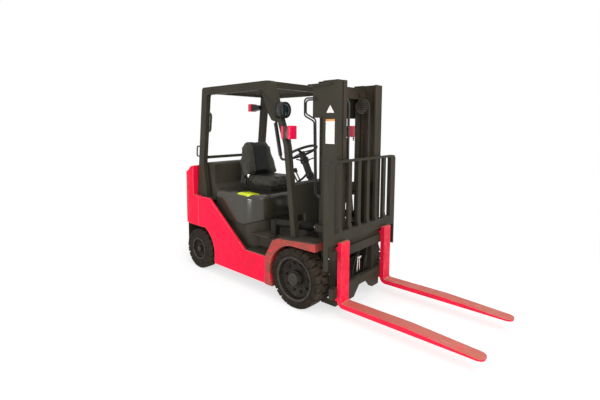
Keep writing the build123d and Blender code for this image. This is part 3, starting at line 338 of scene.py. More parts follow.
def tyre_rubber(name, x, z, radius):
    """Rubber with worn brown lug faces, a painted highlight on the lug edges and fine rings on the
    sidewall.
    """
    f = Finish(name, specular=0.10)
    away = f.radius(x, z)
    colour = f.mix(f.ramp(f.noise(18, 6), 0.3, 0.7), RUBBER, RUBBER_DUSTY)
    face = f.ramp(away, radius - 0.012, radius - 0.003)
    face = f.math("MULTIPLY", face, f.ramp(f.noise(26, 6), 0.25, 0.6, 0.75))
    colour = f.mix(face, colour, RUBBER_WORN)
    # Painted highlight on the lug edges, only out on the tread
    edge = f.math("MULTIPLY", f.edges(0.007), f.ramp(away, radius - 0.05, radius - 0.01, 0.6))
    colour = f.mix(edge, colour, RUBBER_LUG_HIGHLIGHT)
    dust = f.ramp(f.noise(7, 6), 0.48, 0.78, 0.35)
    colour = f.mix(dust, colour, RUBBER_DUST)
    rings = f.math("SINE", f.math("MULTIPLY", away, RING_WAVES))
    grain = f.math("ADD", f.math("MULTIPLY", rings, 0.25), f.noise(120, 4))
    return f.coat(colour, 0.75, f.bump(grain, 0.22, 0.0018, f.rounded(0.005)))


def rim_paint():
    """Charcoal wheel paint under brown road dust."""
    f = Finish("wheel_rim_paint", specular=0.14)
    colour = f.mix(f.ramp(f.noise(12, 6), 0.32, 0.66), RIM, RIM_DUSTY)
    edge = f.math("MULTIPLY", f.edges(0.006), f.ramp(f.noise(20, 4), 0.2, 0.6, 0.6))
    colour = f.mix(edge, colour, RIM_CHIP)
    rough = f.ramp(f.noise(15, 5), -0.4, 1.0, 0.7)
    return f.coat(colour, rough, f.bump(f.noise(70, 4), 0.15, 0.0015, f.rounded(0.004)))


def bright_rod():
    """Polished cylinder rod with a thin film of oil."""
    f = Finish("polished_rod", metal=1.0)
    colour = f.mix(f.ramp(f.noise(30, 4, (1, 1, 0.05)), 0.4, 0.7), ROD, ROD_OILY)
    return f.coat(colour, f.ramp(f.noise(40, 4), 0.0, 1.0, 0.30))


def chain_steel():
    """Oiled leaf chain: rows of plates and pins along its run, brown between them."""
    f = Finish("oiled_chain_steel", metal=0.6)
    pitch = f.math("SINE", f.math("MULTIPLY", f.axis(f.place, "Z"), 2 * math.pi / CHAIN_PITCH))
    plates = f.math("SINE", f.math("MULTIPLY", f.axis(f.place, "Y"), 2 * math.pi / CHAIN_LEAF))
    leaf = f.math("ADD", f.math("MULTIPLY", pitch, 0.6), f.math("MULTIPLY", plates, 0.4))
    colour = f.mix(f.ramp(leaf, -0.5, 0.6), CHAIN_GAP, CHAIN_PLATE)
    colour = f.mix(f.ramp(f.noise(60, 4), 0.45, 0.75, 0.6), colour, CHAIN_OIL)
    rough = f.ramp(f.noise(45, 4), -0.2, 1.0, 0.65)
    return f.coat(colour, rough, f.bump(leaf, 0.6, 0.003))


def grained_plastic(name, base, pale, rough):
    """Moulded plastic with a fine pebble grain."""
    f = Finish(name, specular=0.3)
    colour = f.mix(f.ramp(f.noise(10, 5), 0.35, 0.68, 0.6), base, pale)
    up = f.ramp(f.axis(f.facing, "Z"), 0.4, 0.95)
    dust = f.math("MULTIPLY", up, f.ramp(f.noise(22, 5), 0.35, 0.7, 0.3))
    colour = f.mix(dust, colour, DARK_DUST)
    return f.coat(colour, rough, f.bump(f.cells(900), 0.25, 0.0006, f.rounded(0.003)))


def seat_vinyl():
    """Grey seat vinyl with a leather grain and a black panel down the backrest."""
    f = Finish("seat_vinyl", specular=0.18)
    colour = f.mix(f.ramp(f.noise(9, 5), 0.35, 0.70, 0.7), VINYL, VINYL_PALE)
    across = f.math("ABSOLUTE", f.axis(f.place, "Y"))
    middle = f.ramp(across, PANEL_HALF + 0.002, PANEL_HALF - 0.002)
    above = f.ramp(f.axis(f.place, "Z"), PANEL_FOOT, PANEL_FOOT + 0.012)
    colour = f.mix(f.math("MULTIPLY", middle, above), colour, BLACK)
    grain = f.cells(420, "DISTANCE_TO_EDGE")
    height = f.math("ADD", f.ramp(grain, 0.0, 0.18), f.math("MULTIPLY", f.noise(26, 5), 1.2))
    rough = f.ramp(f.noise(12, 4), -0.7, 1.0, 0.62)
    return f.coat(colour, rough, f.bump(height, 0.30, 0.0010))


def engine_iron():
    """Sooty cast iron."""
    f = Finish("engine_iron", specular=0.2)
    colour = f.mix(f.ramp(f.noise(14, 6), 0.3, 0.7), IRON, IRON_RUSTY)
    return f.coat(colour, 0.8, f.bump(f.noise(80, 5), 0.4, 0.003, f.rounded(0.006)))


def lens(name, tint, glow):
    """Coloured lamp plastic with moulded ribs."""
    f = Finish(name, rough=0.22, specular=0.4)
    ribs = f.math("SINE", f.math("MULTIPLY", f.axis(f.place, "Z"), RIB_WAVES))
    colour = f.mix(f.ramp(f.noise(25, 4), 0.35, 0.7, 0.6), tint, glow)
    return f.coat(colour, None, f.bump(ribs, 0.25, 0.0012))


def plain(name, base, pale, rough, metal=0.0, scale=20, specular=0.4):
    """Finish of small fittings: two tones in clouds, with their roughness broken up."""
    f = Finish(name, metal=metal, specular=specular)
    colour = f.mix(f.ramp(f.noise(scale, 5), 0.35, 0.68), base, pale)
    rough = f.ramp(f.noise(scale * 1.7, 4), -0.4, 1.0, rough)
    return f.coat(colour, rough, f.bump(f.noise(scale * 6, 3), 0.12, 0.0008))


FINISHES = {
    "body_red": red_paint(),
    "dark_paint": dark_paint("dark_chassis_paint", DARK, DARK_DUSTY, 0.70),
    "tread_plate": tread_plate(),
    "rim_paint": rim_paint(),
    "bright_rod": bright_rod(),
    "chain_steel": chain_steel(),
    "dash_plastic": grained_plastic("dash_plastic", (0.017, 0.016, 0.0135), (0.030, 0.028, 0.024), 0.6),
    "seat_vinyl": seat_vinyl(),
    "seat_frame": dark_paint("seat_frame_paint", BLACK, DARK, 0.6),
    "engine_iron": engine_iron(),
    "lamp_body": grained_plastic("lamp_plastic", BLACK, (0.016, 0.0155, 0.014), 0.4),
    "lamp_red": lens("red_lens", (0.70, 0.003, 0.050), (0.80, 0.006, 0.062)),
    "lamp_case_red": plain("dark_red_case", (0.034, 0.010, 0.009), (0.050, 0.014, 0.012), 0.55),
    "bolt_steel": plain("bolt_steel", (0.016, 0.014, 0.011), (0.042, 0.035, 0.026), 0.55, 0.2, 40, 0.3),
    "rim_edge": plain("rim_edge_paint", (0.040, 0.034, 0.026), (0.085, 0.073, 0.058), 0.6, 0.0, 30, 0.2),
    "dark_glass": plain(
        "dark_lamp_glass", (0.004, 0.008, 0.009), (0.010, 0.020, 0.022), 0.10, 0.0, 12, 0.7,
    ),
    "white_plate": plain("white_plate", (0.80, 0.76, 0.71), (0.64, 0.58, 0.54), 0.5, 0.0, 25),
    "orange_band": plain("orange_band", (0.72, 0.28, 0.05), (0.55, 0.22, 0.05), 0.5, 0.0, 25),
    "patch_yellow": plain("yellow_patch", (0.66, 0.76, 0.008), (0.52, 0.62, 0.008), 0.4, 0.0, 15),
}
TYRE_RUBBER = {
    "front": tyre_rubber("front_tyre_rubber", DATUM_X + FRONT_X, FRONT_R, FRONT_R),
    "rear": tyre_rubber("rear_tyre_rubber", DATUM_X + REAR_X, REAR_R, REAR_R),
}
fork_red = fork_paint()
frame_dark = dark_paint("dusty_frame_paint", (0.036, 0.0325, 0.0235), (0.060, 0.052, 0.038), 0.75)
linkage_black = dark_paint("black_linkage_paint", BLACK, DARK, 0.6)
NODE_FINISHES = {
    "fenders": fender_paint(),
    "fork_left": fork_red,
    "fork_right": fork_red,
    "hood": dark_paint("hood_paint", (0.028, 0.0250, 0.0175), (0.040, 0.036, 0.025), 0.22, 0.2, 0.5),
    "frame": frame_dark,
    "radiator_cover": frame_dark,
    "inner_mast": dark_paint("inner_mast_paint", DARK, (0.060, 0.040, 0.027), 0.65),
    "mast_hoses": FINISHES["lamp_body"],
    "tilt_brackets": linkage_black,
    "tilt_barrels": linkage_black,
}
for end, rubber in TYRE_RUBBER.items():
    for hand in ("left", "right"):
        NODE_FINISHES[f"{end}_tyre_{hand}"] = rubber


def finish_nodes():
    """Give every CAD node its finish, by node or by the record's slot."""
    for row in frame["record"]["subparts"]:
        piece = nodes[row["node"]]
        material = NODE_FINISHES.get(row["node"]) or FINISHES[row["material_slot"]]
        for place in piece.material_slots:
            place.material = material


# Building blocks for the fittings, in metres from the datum
class Shape:
    """Mesh in the making."""

    def __init__(self):
        self.bm = bmesh.new()

    def block(self, low, high, bevel=0.0):
        """Box between two corners, its edges rounded by the bevel."""
        verts = bmesh.ops.create_cube(self.bm, size=1.0)["verts"]
        for vert in verts:
            vert.co = Vector(low[i] + (vert.co[i] + 0.5) * (high[i] - low[i]) for i in range(3))
        if bevel:
            edges = list(dict.fromkeys(edge for vert in verts for edge in vert.link_edges))
            bmesh.ops.bevel(self.bm, geom=edges, offset=bevel, segments=2, affect="EDGES", profile=0.5)
        return self

    def lathe(self, centre, axis, profile, steps=32, ring=False):
        """Form turned about an axis from (radius, along) pairs; a ring has a hole in it."""
        axis = Vector(axis).normalized()
        side = axis.orthogonal().normalized()
        up = axis.cross(side)
        loops = []
        for radius, along in profile:
            loop = []
            for i in range(steps):
                turn = 2 * math.pi * i / steps
                arm = side * math.cos(turn) + up * math.sin(turn)
                loop.append(self.bm.verts.new(Vector(centre) + axis * along + arm * radius))
            loops.append(loop)
        pairs = list(zip(loops, loops[1:]))
        if ring:
            pairs.append((loops[-1], loops[0]))
        else:
            self.bm.faces.new(loops[0])
            self.bm.faces.new(loops[-1])
        for a, b in pairs:
            for i in range(steps):
                j = (i + 1) % steps
                self.bm.faces.new((a[i], a[j], b[j], b[i]))
        return self

    def rod(self, a, b, radius, steps=16):
        """Round bar between two points."""
        along = Vector(b) - Vector(a)
        return self.lathe(a, along, [(radius, 0.0), (radius, along.length)], steps)

    def hex_bolt(self, foot, axis, radius, height):
        """Six-sided head with a chamfered top."""
        top = [(radius, 0.0), (radius, height * 0.8), (radius * 0.82, height)]
        return self.lathe(foot, axis, top, 6)

    def tube(self, points, radius, steps=10):
        """Round tube through points, its corners eased by a smooth curve."""
        curve = bpy.data.curves.new("route", "CURVE")
        curve.dimensions = "3D"
        spline = curve.splines.new("NURBS")
        spline.points.add(len(points) - 1)
        for slot, point in zip(spline.points, points):
            slot.co = (*point, 1)
        spline.order_u = 3
        spline.use_endpoint_u = True
        curve.bevel_depth = radius
        curve.bevel_resolution = steps // 4
        curve.use_fill_caps = True
        holder = bpy.data.objects.new("route", curve)
        mesh = bpy.data.meshes.new_from_object(holder)
        self.bm.from_mesh(mesh)
        bpy.data.objects.remove(holder)
        bpy.data.curves.remove(curve)
        bpy.data.meshes.remove(mesh)
        return self

    def prism(self, corners, depth):
        """Flat outline given its corners, made solid along a depth vector."""
        front = [self.bm.verts.new(Vector(corner)) for corner in corners]
        back = [self.bm.verts.new(Vector(corner) + Vector(depth)) for corner in corners]
        self.bm.faces.new(front)
        self.bm.faces.new(back[::-1])
        count = len(corners)
        for i in range(count):
            j = (i + 1) % count
            self.bm.faces.new((front[i], front[j], back[j], back[i]))
        return self

    def mirrored(self):
        """The same again on the other side of the truck."""
        copy = bmesh.ops.duplicate(self.bm, geom=self.bm.verts[:] + self.bm.edges[:] + self.bm.faces[:])
        for item in copy["geom"]:
            if isinstance(item, bmesh.types.BMVert):
                item.co.y = -item.co.y
        return self


def add(name, shape, material, body, slot, *hides):
    """Turn a shape into a piece that rides a body and may stand for CAD nodes."""
    bm = shape.bm
    bmesh.ops.recalc_face_normals(bm, faces=bm.faces[:])
    bmesh.ops.translate(bm, verts=bm.verts[:], vec=(DATUM_X, 0, 0))
    mesh = bpy.data.meshes.new(name)
    bm.to_mesh(mesh)
    bm.free()
    mesh.shade_smooth()
    mesh.set_sharp_from_angle(angle=math.radians(35))
    mesh.materials.append(material)
    piece = bpy.data.objects.new(name, mesh)
    scene.collection.objects.link(piece)
    if body:
        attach(piece, body)
    if hides:
        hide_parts(*hides)
    return piece


# Wheels: profiles are pairs of radius and distance out from the wheel's middle
LUG_HEIGHT = 0.014
LUG_ROOT = 0.003
TYRE_STEPS = 72
STUD_FOOT = 0.010
STUD_CHAMFER = 0.002
HUB_BOLT = (0.0050, 0.006)
HUB_BOLT_CIRCLE = 0.0625
HUB_BOLT_SEAT = 0.0665
HUB_BOLT_TURN = 0.2
WHEELS = {
    "front": {
        "place": (FRONT_X, FRONT_Y, FRONT_R),
        "half": 0.085,
        "bead": 0.193,
        "lugs": 22,
        "nuts": 10,
        "nut": (0.0135, 0.019),
        "nut_circle": 0.126,
        "nut_seat": 0.019,
        "stud": (0.007, 0.032),
        "hub_bolts": 8,
        "cap": (
            (0.058, 0.060), (0.058, 0.083), (0.054, 0.090),
            (0.044, 0.093), (0.040, 0.090), (0.010, 0.090),
        ),
        "cap_steps": 40,
        "ring": ((0.182, 0.070), (0.182, 0.0805), (0.1855, 0.0825), (0.189, 0.081)),
        "ring_steps": 64,
    },
    "rear": {
        "place": (REAR_X, REAR_Y, REAR_R),
        "half": 0.070,
        "bead": 0.116,
        "lugs": 20,
        "nuts": 6,
        "nut": (0.0115, 0.016),
        "nut_circle": 0.068,
        "nut_seat": 0.026,
        "stud": (0.006, 0.026),
        "hub_bolts": 0,
        "cap": ((0.022, 0.055), (0.022, 0.064), (0.017, 0.067), (0.006, 0.068)),
        "cap_steps": 24,
        "ring": ((0.108, 0.060), (0.108, 0.067), (0.111, 0.0685), (0.114, 0.067)),
        "ring_steps": 48,
    },
}


def round_places(count, radius, centre, y, first=0.0):
    """Points evenly round a wheel's axis."""
    for i in range(count):
        turn = first + 2 * math.pi * i / count
        yield (centre.x + radius * math.cos(turn), y, centre.z + radius * math.sin(turn))


def lug(shape, centre, side, turn, pitch, radius, base, half):
    """One slanted tread lug from the middle of the tyre out over its shoulder."""
    # Share of the half width, sweep and half spread in pitches, drop of the top, sink of the foot
    stations = (
        (0.03, 0.16, 0.32, 0.0, 0.0),
        (0.45, 0.06, 0.36, 0.0, 0.0),
        (0.80, 0.00, 0.40, 0.001, 0.004),
        (0.93, 0.00, 0.40, 0.007, 0.020),
        (0.99, 0.00, 0.38, 0.026, 0.034),
    )
    loops = []
    for along, sweep, spread, drop, sink in stations:
        y = centre.y + side * along * half
        foot = base - LUG_ROOT - sink
        top = radius - drop
        loop = []
        for reach, edge in ((foot, -1), (top, -1), (top, 1), (foot, 1)):
            angle = turn + (sweep + edge * spread) * pitch
            spot = (centre.x + reach * math.cos(angle), y, centre.z + reach * math.sin(angle))
            loop.append(shape.bm.verts.new(spot))
        loops.append(loop)
    for a, b in zip(loops, loops[1:]):
        for i in range(4):
            j = (i + 1) % 4
            shape.bm.faces.new((a[i], a[j], b[j], b[i]))
    shape.bm.faces.new(loops[0])
    shape.bm.faces.new(loops[-1])


def tyre(centre, radius, half, bead, lugs):
    """Round carcass with a bulged sidewall and two staggered rows of shoulder lugs."""
    base = radius - LUG_HEIGHT
    wall = [
        (bead + 0.0006, 0.84),
        (bead + 0.0100, 0.86),
        (bead + 0.0115, 0.94),
        (bead + 0.0220, 0.975),
        ((bead + base) / 2, 0.985),
        (base - 0.024, 0.96),
        (base - 0.007, 0.86),
        (base, 0.68),
    ]
    profile = [(r, y * half) for r, y in wall] + [(r, -y * half) for r, y in reversed(wall)]
    shape = Shape().lathe(centre, (0, 1, 0), profile, TYRE_STEPS, True)
    pitch = 2 * math.pi / lugs
    for i in range(lugs):
        lug(shape, centre, 1, (i + 0.25) * pitch, pitch, radius, base, half)
        lug(shape, centre, -1, (i - 0.25) * pitch, pitch, radius, base, half)
    return shape


def wheel_nuts(size, centre, sign):
    """Nuts on their studs, bolts on the hub and the hub cap of one wheel."""
    out = (0, sign, 0)
    shape = Shape()
    radius, length = size["stud"]
    stud = ((radius, STUD_FOOT), (radius, length - STUD_CHAMFER), (radius - STUD_CHAMFER, length))
    seat = centre.y + sign * size["nut_seat"]
    for place in round_places(size["nuts"], size["nut_circle"], centre, seat):
        shape.hex_bolt(place, out, *size["nut"])
        shape.lathe(place, out, stud, 10)
    seat = centre.y + sign * HUB_BOLT_SEAT
    for place in round_places(size["hub_bolts"], HUB_BOLT_CIRCLE, centre, seat, HUB_BOLT_TURN):
        shape.hex_bolt(place, out, *HUB_BOLT)
    return shape.lathe(centre, out, size["cap"], size["cap_steps"])


def wheel_fittings(end, hand, sign):
    """Treaded tyre, nuts and lock ring of one wheel."""
    size = WHEELS[end]
    x, y, radius = size["place"]
    centre = Vector((x, sign * y, radius))
    body = f"wheel_{end}_{hand}"
    tread = tyre(centre, radius, size["half"], size["bead"], size["lugs"])
    add(f"{end}_treaded_tyre_{hand}", tread, TYRE_RUBBER[end], body, "tyre_rubber", f"{end}_tyre_{hand}")
    nuts = wheel_nuts(size, centre, sign)
    add(f"{end}_wheel_nuts_{hand}", nuts, FINISHES["bolt_steel"], body, "rim_paint")
    ring = Shape().lathe(centre, (0, sign, 0), size["ring"], size["ring_steps"], True)
    add(f"{end}_lock_ring_{hand}", ring, FINISHES["rim_edge"], body, "rim_paint")


# Lamps
LAMP_Y = -0.464
LAMP_Z = 1.742
LAMP_STEPS = 48
COOLING_RINGS_X = (-0.262, -0.247, -0.232)
COOLING_RING_HALF = 0.003
INDICATOR_STUD_X = -0.100
INDICATOR_STUD_Y = -0.500


def band_profile(inner, outer, start, end):
    """Square section of a band round an axis."""
    return ((inner, start), (outer, start), (outer, end), (inner, end))


def headlamp_fronts():
    """Bezel, cooling rings, pale band and domed dark glass of the two work lamps."""
    ahead = (1, 0, 0)
    centre = (0, LAMP_Y, LAMP_Z)
    rim = ((0.060, -0.200), (0.0735, -0.200), (0.0735, -0.186), (0.062, -0.182))
    bezel = Shape().lathe(centre, ahead, rim, LAMP_STEPS, True)
    for x in COOLING_RINGS_X:
        fin = band_profile(0.060, 0.0745, x - COOLING_RING_HALF, x + COOLING_RING_HALF)
        bezel.lathe(centre, ahead, fin, LAMP_STEPS, True)
    add("headlamp_bezels", bezel.mirrored(), FINISHES["lamp_body"], "chassis", "lamp_body")
    band = Shape().lathe(centre, ahead, band_profile(0.066, 0.0738, -0.222, -0.212), LAMP_STEPS, True)
    add("headlamp_bands", band.mirrored(), FINISHES["rim_edge"], "chassis", "lamp_body")
    dome = (
        (0.0605, -0.1955), (0.0605, -0.190), (0.050, -0.185),
        (0.034, -0.181), (0.016, -0.1785), (0.004, -0.178),
    )
    glass = Shape().lathe(centre, ahead, dome, LAMP_STEPS)
    add("headlamp_glass", glass.mirrored(), FINISHES["dark_glass"], "chassis", "lamp_body")


def indicator_lamps():
    """Two-sided box lamps on the front pillars: red lenses on a dark housing with a stud below."""
    lens_box = Shape()
    lens_box.block((-0.116, -0.520, 1.486), (-0.084, -0.430, 1.604), 0.006)
    lens_box.block((-0.194, -0.519, 1.490), (-0.168, -0.478, 1.600), 0.005)
    add("indicator_lenses", lens_box.mirrored(), FINISHES["lamp_red"], "chassis", "lamp_red", "indicators")
    case = Shape().block((-0.170, -0.518, 1.490), (-0.114, -0.434, 1.600), 0.003)
    add("indicator_housings", case.mirrored(), FINISHES["lamp_case_red"], "chassis", "lamp_red")
    x = INDICATOR_STUD_X
    y = INDICATOR_STUD_Y
    stud = Shape().rod((x, y, 1.490), (x, y, 1.446), 0.0055)
    stud.hex_bolt((x, y, 1.466), (0, 0, 1), 0.010, 0.010)
    add("indicator_studs", stud.mirrored(), FINISHES["lamp_body"], "chassis", "lamp_body")


# Overhead guard
GUSSET_Y = -0.432
GUSSET_THICK = 0.008
GRIP_Y = -0.4485
GRIP_RADIUS = 0.0175


def guard_gussets():
    """Web plates in the bend between each front pillar and its roof rail."""
    corners = (
        (-0.560, 1.940), (-0.430, 1.945), (-0.352, 1.860), (-0.318, 1.760), (-0.292, 1.660),
        (-0.340, 1.640), (-0.395, 1.655), (-0.440, 1.720), (-0.470, 1.800), (-0.510, 1.880),
    )
    shape = Shape().prism([(x, GUSSET_Y, z) for x, z in corners], (0, GUSSET_THICK, 0))
    add("guard_gussets", shape.mirrored(), FINISHES["dark_paint"], "chassis", "dark_paint")


def grip_sleeve():
    """Thick rubber sleeve on the grab handle of the right front pillar."""
    sleeve = Shape().rod((-0.325, GRIP_Y, 1.627), (-0.262, GRIP_Y, 1.333), GRIP_RADIUS, 20)
    add("grip_sleeve", sleeve, FINISHES["lamp_body"], "chassis", "dash_plastic")


# Mast: the plates lie on the right-hand rail's web
WEB_Y = -0.361
PLATE_THICK = 0.0012
PLATE_X = (0.176, 0.266)
PLATE_FOOT = 1.452
PLATE_HEAD = 1.640
PLATE_TOP = 1.657
SIGN_CORNERS = ((0.182, 1.711), (0.259, 1.710), (0.219, 1.775))
RAIL_BOLTS = ((0.226, 0.456, 0.013), (0.223, 0.131, 0.015), (0.226, 0.330, 0.010))
RAIL_BOLT_HEIGHT = 0.0045


def mast_plates():
    """Blank sign, blank white plate with its orange head, and bolts on the rails."""
    face = WEB_Y - PLATE_THICK
    sign = Shape().prism([(x, WEB_Y, z) for x, z in SIGN_CORNERS], (0, -PLATE_THICK, 0))
    sign.block((PLATE_X[0], face, PLATE_FOOT), (PLATE_X[1], WEB_Y, PLATE_HEAD))
    add("mast_blank_plates", sign, FINISHES["white_plate"], "mast_outer", "dark_paint")
    head = Shape().block((PLATE_X[0], face, PLATE_HEAD), (PLATE_X[1], WEB_Y, PLATE_TOP))
    add("mast_plate_head", head, FINISHES["orange_band"], "mast_outer", "dark_paint")
    bolts = Shape()
    for x, z, radius in RAIL_BOLTS:
        bolts.hex_bolt((x, WEB_Y, z), (0, -1, 0), radius, RAIL_BOLT_HEIGHT)
    add("mast_rail_bolts", bolts.mirrored(), FINISHES["bright_rod"], "mast_outer", "dark_paint")


# Tilt cylinders: pin on the frame, pin on the mast, and the boot's place along the line between
TILT_TAIL = Vector((-0.420, 0, 0.672))
TILT_EYE = Vector((0.105, 0, 0.715))
TILT_Y = 0.352
BOOT_START = 0.347
BOOT_PITCH = 0.0145
BOOT_RIBS = 9


def tilt_boots():
    """Ribbed rubber boots that stretch over the tilt cylinders' rods."""
    along = (TILT_EYE - TILT_TAIL).normalized()
    end = BOOT_START + BOOT_RIBS * BOOT_PITCH
    profile = [(0.034, BOOT_START - 0.004)]
    for i in range(BOOT_RIBS):
        profile.append((0.028, BOOT_START + i * BOOT_PITCH))
        profile.append((0.040, BOOT_START + (i + 0.5) * BOOT_PITCH))
    profile.append((0.022, end))
    shape = Shape().lathe(TILT_TAIL + Vector((0, TILT_Y, 0)), along, profile, 28).mirrored()
    boots = add("tilt_boots", shape, FINISHES["lamp_body"], None, "dash_plastic")
    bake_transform(boots)


# Carriage
FORK_Y = 0.356
HOSE_RADIUS = 0.007
HOSE_ROUTES = (
    ((0.296, -0.120, 0.226), (0.305, -0.115, 0.330), (0.305, -0.045, 0.440), (0.300, 0.020, 0.480)),
    ((0.296, 0.070, 0.216), (0.306, 0.080, 0.360), (0.305, 0.125, 0.430), (0.300, 0.130, 0.490)),
)


def carriage_fittings():
    """Bright studs with their clevis, hoses and fork lock pins in the open carriage."""
    bright = Shape()
    for y in (-0.018, 0.030):
        bright.rod((0.285, y, 0.216), (0.292, y * 0.5, 0.400), 0.0075)
        bright.hex_bolt((0.285, y, 0.216), (0, 0, 1), 0.015, 0.013)
    bright.block((0.276, -0.034, 0.392), (0.306, 0.038, 0.420), 0.006)
    add("carriage_anchors", bright, FINISHES["bright_rod"], "fork_carriage", "dark_paint")
    hoses = Shape()
    for route in HOSE_ROUTES:
        hoses.tube(route, HOSE_RADIUS)
    add("carriage_hoses", hoses, FINISHES["lamp_body"], "fork_carriage", "dash_plastic")
    pins = Shape()
    knob = ((0.016, 0.0), (0.016, 0.022), (0.011, 0.030), (0.004, 0.032))
    for y in (-FORK_Y, FORK_Y):
        pins.lathe((0.331, y, 0.560), (0, 0, 1), knob, 20)
    button = ((0.012, 0.0), (0.012, 0.006), (0.008, 0.009))
    for y in (0.205, 0.232):
        pins.lathe((0.3495, y, 0.205), (1, 0, 0), button, 16)
    add("fork_lock_pins", pins, FINISHES["bolt_steel"], "fork_carriage", "dark_paint")


# Driver's place
LEVERS = 3
FIRST_LEVER_Y = -0.240
LEVER_PITCH = 0.045
LEVER_LEAN = (-0.42, 0, 0.907)
PEDALS_Y = (-0.190, -0.060, 0.090)
PEDAL_HALF = 0.034
PEDAL_RIBS = 5
PEDAL_FOOT = 0.622
PEDAL_RIB_PITCH = 0.0125
PEDAL_RIB_HEIGHT = 0.006
GAUGE_HALF = 0.120
COLUMN_FOOT = Vector((-0.235, 0, 1.020))
COLUMN_TOP = Vector((-0.372, 0, 1.300))
STALK_PLACE = 0.262
STALK_RADIUS = 0.0065
STALK_BENDS = ((0, 0.036, 0), (0.010, 0.090, 0.010), (0.015, 0.140, 0.020))


def seat_fittings():
    """Belt buckle on its stalk, lap belt reel and the hip restraint beside the cushion."""
    stalk = Shape()
    stalk.tube([(-0.930, -0.244, 0.985), (-0.928, -0.248, 1.020), (-0.922, -0.247, 1.055)], 0.009)
    stalk.block((-1.010, -0.262, 0.975), (-0.950, -0.236, 1.040), 0.008)
    stalk.tube([(-0.640, 0.244, 0.990), (-0.560, 0.250, 1.030), (-0.520, 0.248, 1.090)], 0.012)
    add("seat_belt_stalk", stalk, FINISHES["lamp_body"], "hood_lid", "seat_frame")
    buckle = Shape().block((-0.936, -0.256, 1.052), (-0.906, -0.236, 1.092), 0.006)
    add("seat_buckle", buckle, FINISHES["bright_rod"], "hood_lid", "seat_frame")


def lever_knobs():
    """Knob caps on the hydraulic levers and rubber ribs on the pedals."""
    caps = Shape()
    cap = ((0.017, 0.0), (0.0165, 0.006), (0.011, 0.012), (0.003, 0.0135))
    for i in range(LEVERS):
        y = FIRST_LEVER_Y + LEVER_PITCH * i
        caps.lathe((-0.343, y, 1.178), LEVER_LEAN, cap, 20)
    add("lever_caps", caps, FINISHES["lamp_body"], "chassis", "dash_plastic")
    ribs = Shape()
    for y in PEDALS_Y:
        for i in range(PEDAL_RIBS):
            z = PEDAL_FOOT + PEDAL_RIB_PITCH * i
            ribs.block((-0.2425, y - PEDAL_HALF, z), (-0.2395, y + PEDAL_HALF, z + PEDAL_RIB_HEIGHT))
    add("pedal_ribs", ribs, FINISHES["lamp_body"], "chassis", "dash_plastic")


def instruments():
    """Blank gauge panel on the instrument pod and the column's collars and stalks."""
    top = [(-0.2285, y, 1.0705) for y in (-GAUGE_HALF, GAUGE_HALF)]
    foot = [(-0.292, y, 1.0105) for y in (GAUGE_HALF, -GAUGE_HALF)]
    panel = Shape().prism(top + foot, (-0.0014, 0, 0.0015))
    add("gauge_panel", panel, FINISHES["dark_glass"], "chassis", "dash_plastic")
    collar = Shape()
    up = (COLUMN_TOP - COLUMN_FOOT).normalized()
    lower = ((0.035, 0.080), (0.041, 0.085), (0.041, 0.120), (0.035, 0.125))
    upper = ((0.035, 0.235), (0.044, 0.240), (0.044, 0.285), (0.035, 0.290))
    for profile in (lower, upper):
        collar.lathe(COLUMN_FOOT, up, profile, 32, True)
    head = COLUMN_FOOT + up * STALK_PLACE
    for side in (1, -1):
        collar.tube([head + Vector((x, side * y, z)) for x, y, z in STALK_BENDS], STALK_RADIUS)
    add("column_collars", collar, FINISHES["lamp_body"], "chassis", "dash_plastic")


# Hood
PATCH_CORNERS = ((-0.917, -0.412), (-0.845, -0.308), (-0.656, -0.331), (-0.742, -0.416))
PATCH_STEPS = 10
PATCH_LIFT = 0.0012
ABOVE_HOOD = 1.2


def hood_point(x, y):
    """Point just off the hood's skin below a place in plan, from the datum."""
    spot, normal = nodes["hood"].ray_cast(at(x, y, ABOVE_HOOD), Vector((0, 0, -1)))[1:3]
    return spot + normal * PATCH_LIFT - Vector((DATUM_X, 0, 0))


def hood_patch():
    """Yellow-green sticker without print, laid on the hood's shoulder."""
    a, b, c, d = [Vector(corner) for corner in PATCH_CORNERS]
    shape = Shape()
    grid = []
    for i in range(PATCH_STEPS + 1):
        u = i / PATCH_STEPS
        row = []
        for j in range(PATCH_STEPS + 1):
            flat = a.lerp(b, u).lerp(d.lerp(c, u), j / PATCH_STEPS)
            row.append(shape.bm.verts.new(hood_point(flat.x, flat.y)))
        grid.append(row)
    for i in range(PATCH_STEPS):
        for j in range(PATCH_STEPS):
            shape.bm.faces.new((grid[i][j], grid[i + 1][j], grid[i + 1][j + 1], grid[i][j + 1]))
    add("hood_patch", shape, FINISHES["patch_yellow"], "hood_lid", "dark_paint")


# Seat covers
SEAT_VOXEL = 0.006
PRESSURE = 4.0
SIM_FRAMES = 20
PAD_INSET = 0.008
PAD_CAP = 0.022
SEAM_WIDTH = 0.006
SEAM_DEPTH = 0.007
ROLL_SEAM_X = -0.700
HEAD_SEAM_Z = 1.330
SEAM_FACING = 0.2


def baked(piece):
    """Mesh of a piece with its modifiers applied."""
    graph = bpy.context.evaluated_depsgraph_get()
    return bpy.data.meshes.new_from_object(piece.evaluated_get(graph))


def shrunk(node, inset):
    """Copy of a CAD node's mesh, drawn in towards its middle by an inset on every side."""
    low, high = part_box(node)
    middle = (Vector(low) + Vector(high)) / 2
    size = Vector(high) - Vector(low)
    mesh = nodes[node].data.copy()
    for vert in mesh.vertices:
        away = vert.co - middle
        vert.co = middle + Vector(away[i] * (1 - 2 * inset / size[i]) for i in range(3))
    return mesh


